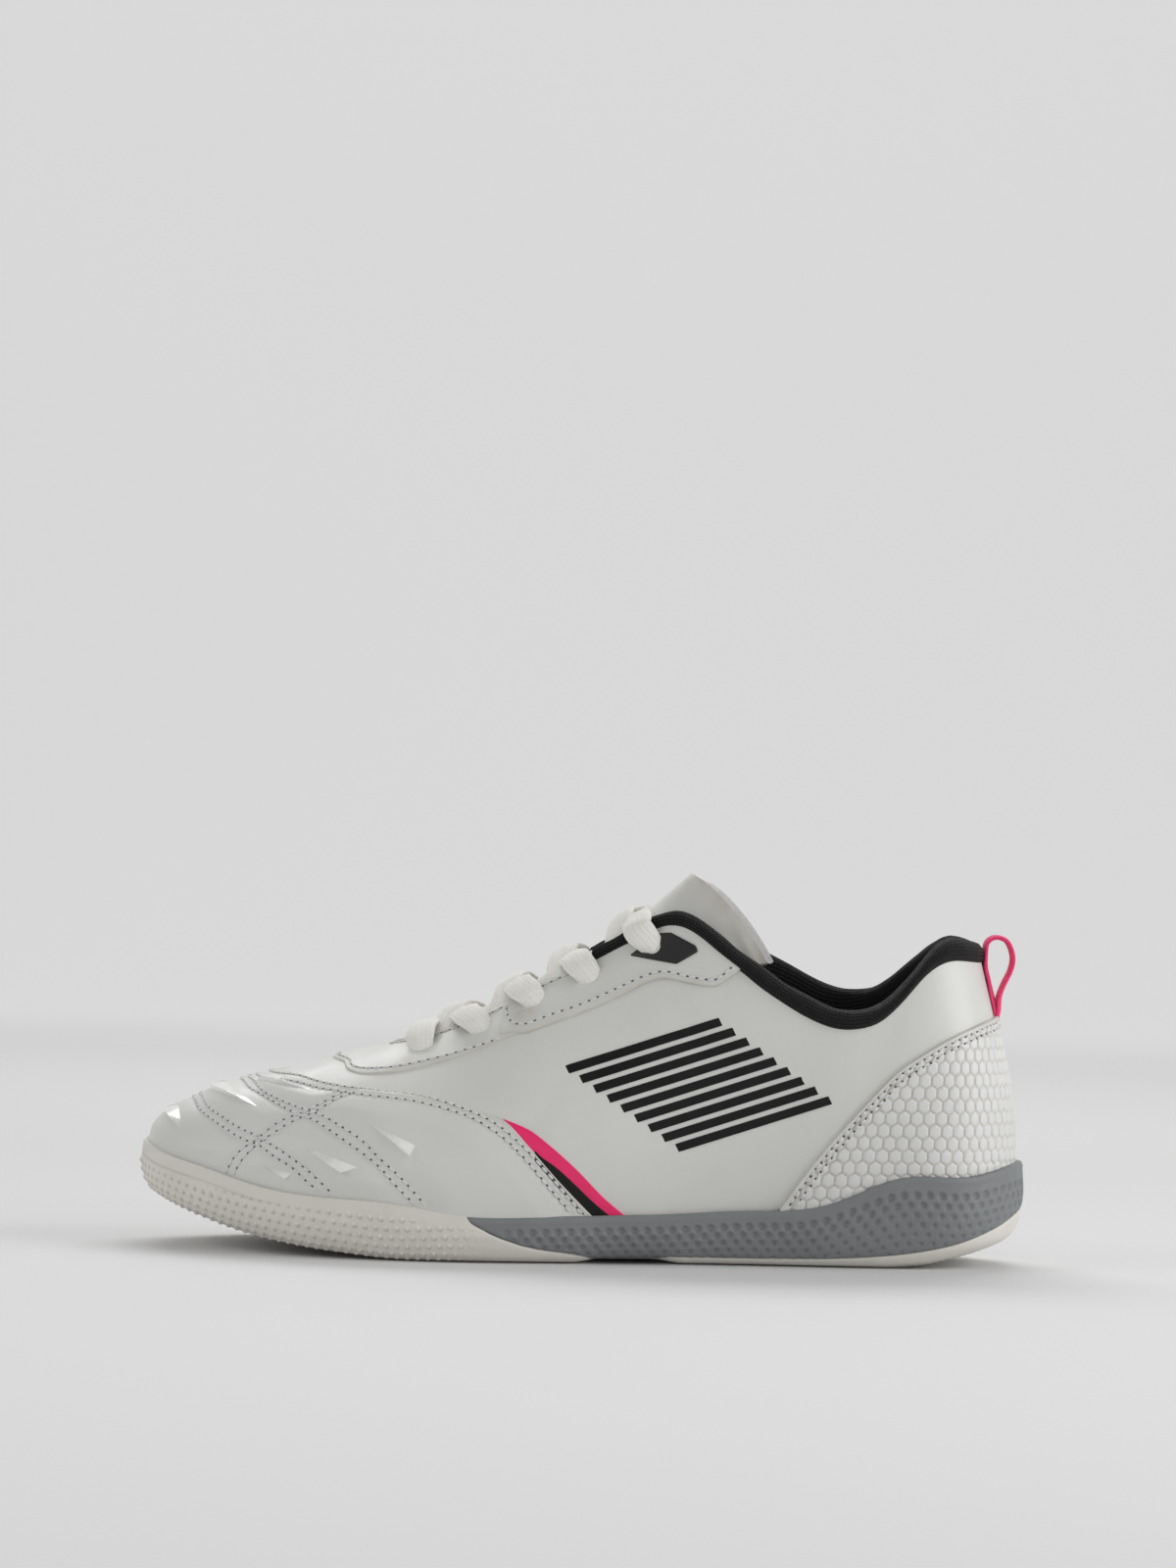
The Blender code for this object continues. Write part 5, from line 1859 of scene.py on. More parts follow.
        # Painted shadow: a crescent offset towards the heel and downwards from each dot, minus the dot
        # itself.
        shaded = np.exp(-((np.hypot(a + 0.4, b + 0.3) / 0.72) ** 4))
        hollow = np.clip(shaded - nub, 0, 1) * field_share
        line = np.exp(-(((down - 4.0) / 0.28) ** 2)) * smooth_step(222, 236, station)
        ridge = 0.3 * np.exp(-((down / 1.1) ** 2))
        return 0.5 * nub * field_share - 0.3 * line + ridge, np.clip(hollow + 0.5 * line, 0, 1)

    def dents(self, u: Array, up: Array, down: Array) -> tuple[Array, Array]:
        """Pressed-in dots of the grey cup, largest in the upper row.

        Args:
            u: places round the outline.
            up: lengths up the wall.
            down: lengths down from its top.

        Returns:
            The relief, and how much painted shade each place gets, inside the dents.
        """
        station = self.station(u)
        row_gap = 2.35 + 0.65 * smooth_step(95, 40, station)
        lip = 4.6 + 1.2 * smooth_step(60, 20, station)
        a, b, row = self.staggered(u, down - lip, self.dent_pitch, row_gap, 0)
        radius = np.clip(1.2 - 0.12 * row, 0.75, 1.2)
        field_share = smooth_step(163, 150, station + 1.2 * row) * smooth_step(1.2, 2.2, up)
        dent = (1 - smooth_step(0.75, 1.12, np.hypot(a, b) / radius)) * field_share
        ridge = 0.35 * np.exp(-(((down - 1.0) / 1.2) ** 2))
        # Painted shade inside each dent.
        return ridge - 0.42 * radius * dent, 0.25 * dent

    def plain(self, u: Array, up: Array, _: Array) -> tuple[Array, Array]:
        """Heel pad: plain, with a low toothed edge at the back."""
        teeth = np.maximum(np.sin(u * 2 * math.pi / 2.6), 0) * np.exp(-((up / 2.4) ** 2))
        return 0.35 * smooth_step(46, 18, self.station(u)) * teeth, np.zeros(u.shape)

    def build(self) -> None:
        """Builds the three pieces."""
        last = self.last
        front = self.u_at(self.cup_front, ("instep", "ball"))
        arch_front, arch_back = (
            self.u_at(station, ("waist", "instep")) for station in (self.forefoot_back, self.heel_front)
        )
        u = np.arange(arch_front, last.mirrored(arch_front), self.fine_step)
        s = self.station(u)
        top = np.where(s > self.cup_front, 1.0, self.seam_level(u, self.fore_height(s) - self.seam_gap))
        rows = int(self.profile_length / self.fine_step)
        patches = [
            self.side_patch(u, np.zeros_like(u), np.maximum(top, 0.02), rows, self.nubs),
            self.lip_patch(u[s > self.cup_front]),
            self.tread_patch(self.forefoot_back, SHOE_LENGTH),
        ]
        add_piece("forefoot_sole", patches, [self.finishes.pale], Slot.PALE_RUBBER, ["outsole_forefoot"])
        u = np.arange(last.mirrored(front) - last.period, front, self.step)
        s = self.station(u)
        low = self.seam_level(u, self.fore_height(s) + self.seam_gap) * (s > self.forefoot_back)
        low = np.where(s < self.heel_front, self.seam_level(u, self.heel_height(s) + self.seam_gap), low)
        rows = int(self.profile_length / self.step) + 8
        patches = [
            self.side_patch(u, np.minimum(low, 0.98), np.ones_like(u), rows, self.dents),
            self.lip_patch(u),
            self.tread_patch(self.heel_front - self.overlap, self.forefoot_back + self.overlap, False),
        ]
        add_piece("rear_cup", patches, [self.finishes.grey], Slot.GREY_RUBBER, ["midsole_rear"])
        u = np.arange(last.mirrored(arch_back) - last.period, arch_back, self.step)
        top = np.maximum(self.seam_level(u, self.heel_height(self.station(u)) - self.seam_gap), 0.02)
        pad = self.side_patch(u, np.zeros_like(u), top, 26, self.plain)
        patches = [pad, self.tread_patch(0.0, self.heel_front)]
        add_piece("heel_pad", patches, [self.finishes.pale], Slot.PALE_RUBBER, ["outsole_heel"])


class CounterPoint(NamedTuple):
    """Height of the heel counter's upper edge on a rib."""

    rib: str
    height: float


@dataclass
class HeelCounter:
    """Embossed overlay round the heel, with a folded edge and a double seam."""

    last: Last
    finishes: Finishes
    lift: float = 1.25
    step: float = 0.38
    rows: int = 140
    pitch: float = 4.05
    row_stretch: float = 1.08
    relief_depth: float = 0.5
    foot: float = -0.05
    least: float = 0.8
    seam_insets: tuple[float, float] = (1.7, 3.5)
    edge_points: tuple[CounterPoint, ...] = (
        CounterPoint("heel_back", 76.0), CounterPoint("heel_corner", 74.8), CounterPoint("heel_round", 71.5),
        CounterPoint("heel_side", 61.5), CounterPoint("heel_dip", 51.0), CounterPoint("ankle", 38.0),
        CounterPoint("waist_back", 2.0),
    )

    def edge_height(self) -> Curve:
        """Height of the upper edge, as a function of the place, which is below 0 on the inner side."""
        ribs, heights = zip(*self.edge_points)
        return monotone_curve(self.last.round_heel(ribs), heights[:0:-1] + heights)

    def build(self) -> None:
        """Builds the overlay and its seams."""
        edge = self.edge_height()
        reach = self.last.u_of("waist_back")
        u = np.arange(self.last.u_of("waist_back", Side.INNER) - self.last.period, reach, self.step)
        u = u[edge(u) > self.last.rim(u) + self.least]
        high = self.last.v_at_height(u, edge(u))
        top = self.last.face(u, high)
        slant = np.sqrt(1 + (np.gradient(edge(u)) / np.gradient(u)) ** 2)

        def hexagons(points: Array, places: Array, _: Array) -> Array:
            """Pillowed hexagons below the smooth folded edge.

            Args:
                points: points of the bare wall.
                places: their places round the outline.

            Returns:
                How far each stands out.
            """
            below = (top[None, :, 2] - points[..., 2]) / slant
            gap = hex_gap(places, points[..., 2] / self.row_stretch, self.pitch)
            pillow = smooth_step(0.0, 0.52, gap) * (0.86 + 0.14 * smooth_step(0.3, 2.0, gap))
            inside = smooth_step(1.1, 1.7, below)
            fold = 0.25 * np.exp(-(((below - 0.6) / 0.7) ** 2))
            # Mask of the pressed grooves, which are darkened as painted shade.
            self.pressed = (1 - smooth_step(0.03, 0.34, gap)) * inside
            return self.relief_depth * (pillow - 1) * inside + fold

        low = np.full_like(u, self.foot)
        panel = panel_patch(self.last, u, low, high, self.lift, self.rows, FREE_TOP, hexagons)
        # Painted shade: the pressed grooves between the hexagons are darker, towards the third colour.
        panel.values["soil"] = 0.8 * self.pressed.ravel()
        add_piece("heel_counter_overlay", [panel], [self.finishes.embossed], Slot.LEATHER, ["heel_counter"])
        seam = Seam(Skin(panel), pitch=2.6, stitch=1.9)
        patches: list[Patch] = []
        for inset in self.seam_insets:
            row = self.last.v_at_height(u, edge(u) - inset * slant)
            keep = row > 0.02
            patches += seam.patches(self.last.face(u[keep], row[keep], self.lift))
        add_seams("counter_seams", patches, self.finishes)


class CollarRow(NamedTuple):
    """Collar at a rib: band over the edge, foam inside the wall, depth of the lining, bulge outwards."""

    rib: str
    band: float
    pad: float
    depth: float
    cheek: float


@dataclass
class Collar:
    """Padded knitted collar and lining, rolled over the topline."""

    last: Last
    finishes: Finishes
    step: float = 0.9
    girth_points: int = 64
    front_station: float = 133.0
    gap: float = 0.25
    lumps: float = 0.22
    rows: tuple[CollarRow, ...] = (
        CollarRow("heel_back", 5.5, 5.0, 38.0, 1.0), CollarRow("heel_corner", 5.8, 5.2, 38.0, 1.0),
        CollarRow("heel_round", 6.2, 5.5, 37.0, 1.1), CollarRow("heel_side", 5.7, 5.5, 34.0, 1.2),
        CollarRow("heel_dip", 5.0, 5.5, 28.0, 1.3), CollarRow("ankle", 4.8, 5.0, 26.0, 1.3),
        CollarRow("waist_back", 4.7, 4.0, 24.0, 1.4), CollarRow("waist", 4.3, 2.0, 16.0, 1.8),
        CollarRow("collar_corner", 4.2, 1.4, 8.0, 2.6), CollarRow("waist_front", 4.2, 1.2, 6.0, 3.0),
    )

    def section(self, u: float, band: float, pad: float, depth: float, cheek: float) -> Array:
        """Closed loop of points round the collar at one place.

        Args:
            u: the place.
            band: height of the band over the topline.
            pad: thickness of the foam inside the wall.
            depth: how far down the lining goes.
            cheek: bulge outwards.

        Returns:
            The loop's points.
        """
        inside = WALL + self.gap
        width = inside + pad
        loop = (
            (1.2, 0.15), (0.2, cheek), (-0.45 * band, cheek + 0.35), (-0.85 * band, cheek - 0.8),
            (-band, -0.28 * width), (-0.94 * band, -0.65 * width), (-0.60 * band, -0.93 * width),
            (0.0, -width), (0.40 * depth, -width + 0.1 * pad), (0.75 * depth, -inside - 0.55 * pad),
            (depth, -inside - 0.2 * pad), (depth, -inside), (0.5 * depth, -inside), (0.0, -inside),
            (0.0, -0.4),
        )
        share = np.linspace(0, 1, 60)
        run = lengths_along(self.last.bare(u, share))
        drop, out = self.rounded(np.array(loop)).T
        v = np.interp(run[-1] - np.maximum(drop, 0), run, share)
        points = self.last.face(np.full_like(v, u), v, out)
        below, top = self.last.bare(np.full(2, u), np.array([0.98, 1.0]))
        return points + np.maximum(-drop, 0)[:, None] * unit(top - below)

    def rounded(self, loop: Array) -> Array:
        """Evenly spaced points on a smooth closed curve through a loop's corners.

        Args:
            loop: the corners.

        Returns:
            The points.
        """
        closed = np.concatenate([loop, loop[:1]])
        knots = lengths_along(closed)
        stops = np.linspace(0, knots[-1], 4 * self.girth_points)
        straight = np.column_stack([np.interp(stops, knots, c) for c in closed.T])
        soft = 0.5 * periodic_spline(knots, loop)(stops) + 0.5 * straight
        return even_chain(soft, lengths_along(soft)[-1] / self.girth_points)[: self.girth_points]

    def build(self) -> None:
        """Builds the collar as one closed sweep."""
        last = self.last
        places = np.array(last.round_heel([r.rib for r in self.rows]))
        places[0] = last.u_at_top(self.front_station, Side.INNER) - last.period
        places[-1] = last.u_at_top(self.front_station)
        table = np.array([r[1:] for r in self.rows])
        table = np.concatenate([table[:0:-1], table])
        u = np.arange(places[0], places[-1], self.step)
        sizes = smooth_columns(places, table, u)
        sizes[:, 0] *= 0.8 + 0.2 * smooth_step(0, 2.5, np.minimum(u - u[0], u[-1] - u))
        rings = np.array([self.section(place, *size) for place, size in zip(u, sizes)])
        swell = self.lumps * speckle(rings, 11.0, SEED + 2)
        rings = rings + unit(rings - rings.mean(1, keepdims=True)) * swell[..., None]
        girth = np.pad(np.cumsum(np.linalg.norm(np.diff(rings, axis=1), axis=2), 1), ((0, 0), (1, 0)))
        patch = tube_patch(rings.transpose(1, 0, 2), lengths_along(last.face(u, 1.0)), girth.T)
        piece = add_piece("collar_padding", [patch.flipped()], [self.finishes.knit], Slot.MESH, ["collar"])


class TongueRow(NamedTuple):
    """Tongue at a distance from the heel's end."""

    station: float
    height: float
    half_breadth: float
    drop: float
    thickness: float


@dataclass
class Tongue:
    """Padded tongue: leather face, pale cut edge and a napped lining that stands beyond it."""

    finishes: Finishes
    length_steps: int = 110
    breadth_steps: int = 48
    top_swell: float = 2.5
    rounding: float = 2.4
    overhang: float = 1.6
    skin: float = 0.9
    rows: tuple[TongueRow, ...] = (
        TongueRow(212, 53.0, 13.0, 2.0, 1.6), TongueRow(198, 58.8, 16.0, 6.0, 1.8),
        TongueRow(185, 65.6, 18.0, 14.0, 2.2), TongueRow(165, 74.8, 18.5, 14.0, 3.0),
        TongueRow(145, 86.4, 19.0, 14.5, 3.6), TongueRow(128, 96.2, 19.5, 18.5, 4.4),
        TongueRow(116, 106.0, 20.0, 26.5, 5.0), TongueRow(104, 116.8, 20.5, 35.0, 5.0),
    )

    def __post_init__(self) -> None:
        """Fits the spine and its columns."""
        table = np.array(self.rows, float)
        spine = np.column_stack([lengthwise(table[:, 0]), table[:, 1]])
        self.reach = lengths_along(spine)
        self.columns = [monotone_curve(self.reach, c) for c in (spine[:, 0], spine[:, 1], *table[:, 2:].T)]

    def frame(self, along: Array, across: Array) -> tuple[Array, Array, Array]:
        """Face points, inward normals and spine directions.

        Args:
            along: lengths along the spine.
            across: shares of the half breadth, from -1 to 1.

        Returns:
            Three arrays of vectors.
        """
        along, across = np.broadcast_arrays(np.asarray(along, float), np.asarray(across, float))
        x, z, half, drop, _ = (c(along) for c in self.columns)
        ahead, behind = np.minimum(along + 0.5, self.reach[-1]), np.maximum(along - 0.5, 0)
        run = unit(np.stack([c(ahead) - c(behind) for c in self.columns[:2]], -1))
        zero = np.zeros_like(x)
        under = np.stack([run[..., 1], zero, -run[..., 0]], -1)
        under = under * np.where(under[..., 2:] < 0, 1, -1)
        steep = self.rounding * np.sign(across) * np.abs(across) ** (self.rounding - 1)
        side = unit(np.stack([zero, half, zero], -1) + under * (drop * steep)[..., None])
        spine = np.stack([run[..., 0], zero, run[..., 1]], -1)
        inward = np.cross(spine, side)
        inward = inward * np.where((inward * under).sum(-1, keepdims=True) > 0, 1, -1)
        fall = drop * np.abs(across) ** self.rounding
        return np.stack([x, half * across, z], -1) + under * fall[..., None], inward, spine

    def along_at(self, station: float) -> float:
        """Length along the spine at a distance from the heel's end."""
        s = np.linspace(0, self.reach[-1], 400)
        return float(np.interp(-lengthwise(station), -self.columns[0](s), s))

    def half_at(self, along: float) -> float:
        """Half breadth at a length along the spine."""
        return float(self.columns[2](along))

    def wrinkles(self, along: Array, across: Array) -> Array:
        """Soft dents of the face: fine puckers at its lower rear corners and a sag between the laces.

        Args:
            along: lengths along the spine.
            across: shares of the half breadth.

        Returns:
            How far each place is pushed in.
        """
        share = along / self.reach[-1]
        corner = smooth_step(0.72, 0.86, share) * smooth_step(0.7, 0.95, np.abs(across))
        sag = 0.35 * np.sin(along / 4.5) * (1 - across**2) * smooth_step(0.75, 0.6, share)
        return 0.22 * corner * np.sin(along * 1.5 + 9 * across) + sag

    @staticmethod
    def border(grid: Array) -> Array:
        """The points round a grid's border, in order."""
        return np.concatenate([grid[:, 0], grid[-1, 1:-1], grid[::-1, -1], grid[0, -2:0:-1]])

    def build(self) -> None:
        """Builds the tongue as one closed piece with three looks."""
        share = np.linspace(0, 1, self.length_steps)[:, None]
        across = np.linspace(-1, 1, self.breadth_steps)
        along = share * self.reach[-1]
        face, inward, spine = self.frame(along, across)
        swell = (self.top_swell * share**6 * 4 * across**2 * (1 - across**2))[..., None]
        thick = np.broadcast_to(self.columns[4](along), swell.shape[:2])[..., None]
        front = face + spine * swell + inward * (self.wrinkles(along, across) + 0.1)[..., None]
        beyond = (self.overhang * share**12 + 0 * across)[..., None]
        back = face + inward * thick + spine * (swell + beyond)
        middle = np.broadcast_to(front[:, self.breadth_steps // 2][:, None], front.shape)
        skin = face + spine * swell + inward * self.skin
        edge, inner, far, core = (self.border(grid) for grid in (front, skin, back, middle))
        outwards = unit(edge - core)
        seam, puff = inner + 0.15 * outwards, (inner + far) / 2 + 0.5 * outwards
        gap = np.minimum(1 - np.abs(across), 1 - share + 0 * across)
        patches = [
            grid_patch(front, edge=np.exp(-gap * 20)),
            grid_patch(np.stack([edge, seam]), wrap=True, look=1),
            grid_patch(np.stack([seam, puff, far]), wrap=True, look=2),
            grid_patch(back, look=2).flipped(),
        ]
        if patches[0].facing(-inward.mean((0, 1))) is not patches[0]:
            patches = [p.flipped() for p in patches]
        looks = [self.finishes.leather, self.finishes.raw_edge, self.finishes.fleece]
        piece = add_piece("tongue_padding", patches, looks, Slot.LEATHER, ["tongue"])


def tape_patch(
    path: Array,
    up: Array,
    widths: Array,
    thickness: Array | float,
    ribs: int,
    rib_height: float,
    curl: Array | float = 0.0,
) -> Patch:
    """A flat woven tape along a path, soft-edged and ribbed lengthwise.

    Args:
        path: points along its middle.
        up: directions its face looks, for each point.
        widths: width at each point.
        thickness: at its middle, one or for each point.
        ribs: number of lengthwise ribs on each face.
        rib_height: height of a rib.
        curl: how far its two edges droop below its middle, one or for each point.

    Returns:
        A closed patch with lengths along and across as values.
    """
    run = unit(np.gradient(path, axis=0))
    side = unit(np.cross(run, up))
    up = unit(np.cross(side, run))
    turn = np.linspace(0, 2 * math.pi, 40, endpoint=False)
    across = (np.sign(np.cos(turn)) * np.abs(np.cos(turn)) ** 0.75)[:, None]
    rise = (np.sign(np.sin(turn)) * np.abs(np.sin(turn)) ** 0.55)[:, None]
    thickness, curl = (np.broadcast_to(a, len(path)) for a in (thickness, curl))
    heights = rise * (thickness / 2 + rib_height * np.cos(across * math.pi * ribs)) - across**2 * curl
    sides = across * widths / 2
    points = path[None] + sides[..., None] * side[None] + heights[..., None] * up[None]
    return tube_patch(points, lengths_along(path), np.abs(sides))


class Eyelet(NamedTuple):
    """A punched eyelet: distance from the heel's end on the throat's edge, and distance below it."""

    station: float
    drop: float


@dataclass
class Lacing:
    """Flat lace: a bar over the first row, then crossings that dive into the eyelets from outside."""

    last: Last
    tongue: Tongue
    finishes: Finishes
    width: float = 9.4
    thickness: float = 1.9
    gather: float = 0.8
    puff: float = 2.0
    slant: float = 0.7
    bar_slant: float = 0.1
    curl: float = 0.45
    end_curl: float = 1.7
    steps: int = 64
    hole_radius: float = 2.0
    binding: float = 1.6
    eyelets: tuple[Eyelet, ...] = (
        Eyelet(182.5, 9.5), Eyelet(164.5, 9.0), Eyelet(148.5, 8.3), Eyelet(132, 8.0), Eyelet(113.5, 7.0),
    )
    stay_lifts: tuple[float, ...] = (0.6, 0.6, 1.15, 1.15, 1.7)
    rim_profile: tuple[tuple[float, float], ...] = (
        (1.3, -0.3), (1.15, 0.05), (1.02, 0.07), (0.92, 0.0), (0.88, -0.1),
    )
    # The hole is a flat dark disc: painted shade.
    hole_profile: tuple[tuple[float, float], ...] = ((0.88, 0.02), (0.4, 0.0), (0.02, 0.0))
    keeper_reach: tuple[float, float] = (126.0, 116.0)
    keeper_share: float = 0.5
    keeper_lift: float = 1.3

    def over_edge(self, row: int, side: Side) -> tuple[list[Array], list[Array]]:
        """Guides from above the throat's edge down into an eyelet.

        Args:
            row: the eyelet's row.
            side: its side.

        Returns:
            The guides and the directions out of the wall at each.
        """
        eyelet, stay = self.eyelets[row], self.stay_lifts[row]
        bound = self.binding if row == len(self.eyelets) - 1 else 0.0
        lift = stay + self.thickness / 2 + 0.25
        guides = (
            (-1.2 - bound, lift + 0.7 * self.puff),
            (0.2 * eyelet.drop, lift + self.puff + bound),
            (0.6 * eyelet.drop, lift + 0.8 * self.puff),
            (0.95 * eyelet.drop, lift + 0.15),
            (eyelet.drop + 1.5, stay - 1.4),
        )
        points, rises = [], []
        for drop, out in guides:
            ahead = (self.slant if row else self.bar_slant) * (eyelet.drop - max(drop, 0))
            u = self.last.u_at_top(eyelet.station + ahead, side)
            points.append(self.last.below_top(u, drop, out))
            rises.append(self.last.below_top(u, max(drop, 0), 1.0) - self.last.below_top(u, max(drop, 0)))
        return points, rises

    def on_tongue(self, station: float, share: float, height: float) -> tuple[Array, Array]:
        """Guide over the tongue's face, and the direction away from it."""
        face, inward, _ = self.tongue.frame(self.tongue.along_at(station), share)
        return face - inward * height, -inward

    def run_patch(self, start: tuple[int, Side], end: tuple[int, Side], layer: float) -> Patch:
        """One run of lace.

        Args:
            start: row and side where it comes out from under the stay, or dives in for the bar.
            end: row and side of the eyelet that it dives into.
            layer: height of its middle over the tongue, in lace thicknesses.

        Returns:
            The run's patch.
        """
        row, side = start
        near, far = self.eyelets[row], self.eyelets[end[0]]
        points, rises = self.over_edge(*end)
        if row == end[0]:
            first, first_rises = (g[::-1] for g in self.over_edge(*start))
        else:
            edge = self.last.below_top(self.last.u_at_top(near.station, side), 0.0)
            half = self.tongue.half_at(self.tongue.along_at(near.station))
            hidden = self.on_tongue(near.station, 1.3 * edge[1] / half, 0.2 + self.thickness / 2)
            shown = self.on_tongue(near.station - 4.5, 0.75 * edge[1] / half, 0.8 + self.thickness / 2)
            first, first_rises = zip(hidden, shown)
        halfway = (near.station + far.station) / 2
        middle, upright = self.on_tongue(halfway, 0.0, 0.6 + self.thickness * (0.5 + layer))
        guides = np.array([*first, middle, *points])
        faces = np.array([*first_rises, upright, *rises])
        reach = lengths_along(guides)
        stops = np.linspace(0, reach[-1], self.steps)
        path, up = (smooth_columns(reach, table, stops) for table in (guides, faces))
        relax(path)
        left = reach[-1] - stops
        if row == end[0]:
            left = np.minimum(left, left[::-1])
        widths = self.width * (self.gather + (1 - self.gather) * smooth_step(1.0, 9.0, left))
        curls = self.curl + self.end_curl * (1 - smooth_step(0.5, 6.0, left))
        return tape_patch(path, up, widths, self.thickness, 6, 0.1, curls)

    def build(self) -> None:
        """Builds the bar, the crossings and the punched eyelets."""
        looks = [self.finishes.lace]
        bar = self.run_patch((0, Side.INNER), (0, Side.OUTER), 0.4)
        add_piece("lace_front_bar", [bar], looks, Slot.COTTON, ["lace_bar"])
        for row in range(len(self.eyelets) - 1):
            under = self.run_patch((row, Side.INNER), (row + 1, Side.OUTER), 0.1)
            over = self.run_patch((row, Side.OUTER), (row + 1, Side.INNER), 1.2)
            name, node = f"lace_crossing_{row + 1}", f"lace_cross_{row + 1}"
            add_piece(name, [over, under], looks, Slot.COTTON, [node])
        add_piece("tongue_lace_keeper", [self.keeper_patch()], looks, Slot.COTTON)
        rows = range(len(self.eyelets))
        rings = [p for row in rows for side in Side for p in self.eyelet_patches(row, side)]
        add_piece("eyelets", rings, [self.finishes.leather, self.finishes.lining], Slot.LEATHER)

    def keeper_patch(self) -> Patch:
        """Flat webbing strap across the tongue, behind the last crossing.

        Returns:
            The strap's patch.
        """
        share = np.concatenate([[-1.0], np.linspace(-1, 1, 25), [1.0]])
        front, back = (self.tongue.along_at(s) for s in self.keeper_reach)
        along = np.concatenate([[front], np.linspace(front, back, 16), [back]])
        face, inward, _ = self.tongue.frame(along[:, None], self.keeper_share * share)
        rise = np.full(face.shape[:2], self.keeper_lift)
        rise[[0, -1]] = rise[:, [0, -1]] = -0.2
        across = np.broadcast_to(along[:, None] - front, rise.shape)
        run = np.broadcast_to(20.0 * self.keeper_share * share, rise.shape)
        patch = grid_patch(face - inward * rise[..., None], along=run, across=across)
        return patch.facing(-inward[4, 12])

    def eyelet_patches(self, row: int, side: Side) -> list[Patch]:
        """One punched hole.

        Args:
            row: its row.
            side: its side.

        Returns:
            A pressed rim, and inside it a flat disc of dark lining cloth that paints the shade of the hole.
        """
        eyelet = self.eyelets[row]
        u = self.last.u_at_top(eyelet.station, side)
        v = float(self.last.v_below_top(u, eyelet.drop)[0])
        centre = self.last.face(u, v, self.stay_lifts[row])
        up = self.last.normal(np.array(u), np.array(v))
        first = unit(np.cross(up, [0.0, 0.0, 1.0]))
        second = np.cross(up, first)
        turn = np.linspace(0, 2 * math.pi, 24, endpoint=False)
        ring = np.cos(turn)[:, None] * first + np.sin(turn)[:, None] * second
        patches = []
        for look, profile in enumerate((self.rim_profile, self.hole_profile)):
            rows = np.stack([centre + ring * self.hole_radius * r + up * h for r, h in profile])
            patches.append(grid_patch(rows, wrap=True, look=look).facing(up))
        return patches


@dataclass
class PullLoop:
    """Loop of pink webbing sewn to the heel's back."""

    last: Last
    finishes: Finishes
    width: float = 10.0
    thickness: float = 1.4
    pressed: float = 0.45
    wrap: float = 0.65
    spacing: float = 0.6
    leg_drops: tuple[float, ...] = (17.0, 12.0, 7.0, 2.0)
    tuck: tuple[tuple[float, float], ...] = ((22.5, 0.15), (20.2, 0.35))
    back_tuck: tuple[tuple[float, float], ...] = ((13.5, 2.9), (17.0, 1.9), (19.8, 0.95), (22.5, 0.3))
    turn: tuple[SidePoint, ...] = (
        SidePoint(13.4, 97.5), SidePoint(10.6, 99.8), SidePoint(7.4, 99.0), SidePoint(5.0, 93.0),
        SidePoint(5.9, 89.0), SidePoint(7.3, 86.3),
    )

    def build(self) -> None:
        """Builds the loop."""
        stand = GAP + self.thickness / 2
        places = [*self.tuck, *((drop, stand) for drop in self.leg_drops)]
        leg = [self.last.below_top(0.0, drop, out) for drop, out in places]
        back = [self.last.below_top(0.0, drop, out) for drop, out in self.back_tuck]
        free = [np.array([float(lengthwise(t.station)), 0.0, t.height]) for t in self.turn]
        guides = np.array(leg + free + back)
        reach = lengths_along(guides)
        path = smooth_columns(reach, guides, even_stops(reach, self.spacing))
        relax(path)
        up = np.cross(unit(np.gradient(path, axis=0)), np.array([0.0, 1.0, 0.0]))
        reach = lengths_along(path)
        left = reach[-1] - reach
        full = smooth_step(2.5, 6.5, np.minimum(reach, left))
        thickness = self.pressed + (self.thickness - self.pressed) * full
        curls = self.wrap * (smooth_step(8.0, 16.0, left) - smooth_step(8.0, 20.0, reach))
        patch = tape_patch(path, up, np.full(len(path), self.width), thickness, 6, 0.06, curls)
        add_piece("heel_pull_loop", [patch], [self.finishes.webbing], Slot.WEBBING, ["pull_loop"])


@dataclass
class Insole:
    """Cloth-covered sock liner with a dished heel and a raised arch."""

    last: Last
    finishes: Finishes
    thickness: float = 4.0
    clearance: float = 0.5
    draft: float = 0.8
    dish: float = 1.6
    dish_width: float = 7.0
    columns: int = 240
    rings: int = 26

    def build(self) -> None:
        """Builds the liner from its cut edge inwards."""
        u = np.linspace(0, self.last.period, self.columns, endpoint=False)
        edge = self.last.inset(u, self.last.ledge(u) + self.draft + WALL + self.clearance)
        spine = np.column_stack([np.clip(edge[:, 0], lengthwise(35), lengthwise(225)), np.zeros(len(u))])
        spine[:, 1] = 4.0 * smooth_step(lengthwise(120), lengthwise(230), spine[:, 0])
        share = np.linspace(0, 1, self.rings)[:, None, None]
        plan = edge[None] + share * (spine - edge)[None]
        depth = np.linalg.norm(plan - edge[None], axis=-1)
        bed = self.last.bed(plan[..., 0]) + GAP
        dish = self.dish * np.exp(-depth / self.dish_width)
        top = np.concatenate([plan, (bed + self.thickness + dish - 0.2)[..., None]], -1)
        foot = np.concatenate([edge, (self.last.bed(edge[:, 0]) + GAP)[:, None]], -1)
        low = np.concatenate([plan, bed[..., None]], -1)
        patches = [
            grid_patch(np.concatenate([foot[None], top]), wrap=True),
            grid_patch(low, wrap=True).flipped(),
        ]
        add_piece("sock_liner", patches, [self.finishes.insole], Slot.CLOTH, ["insole"])


class Lamp(NamedTuple):
    """A soft rectangular light, in metres and watts."""

    name: str
    place: tuple[float, float, float]
    size: tuple[float, float]
    power: float
    spread_deg: float = 180.0


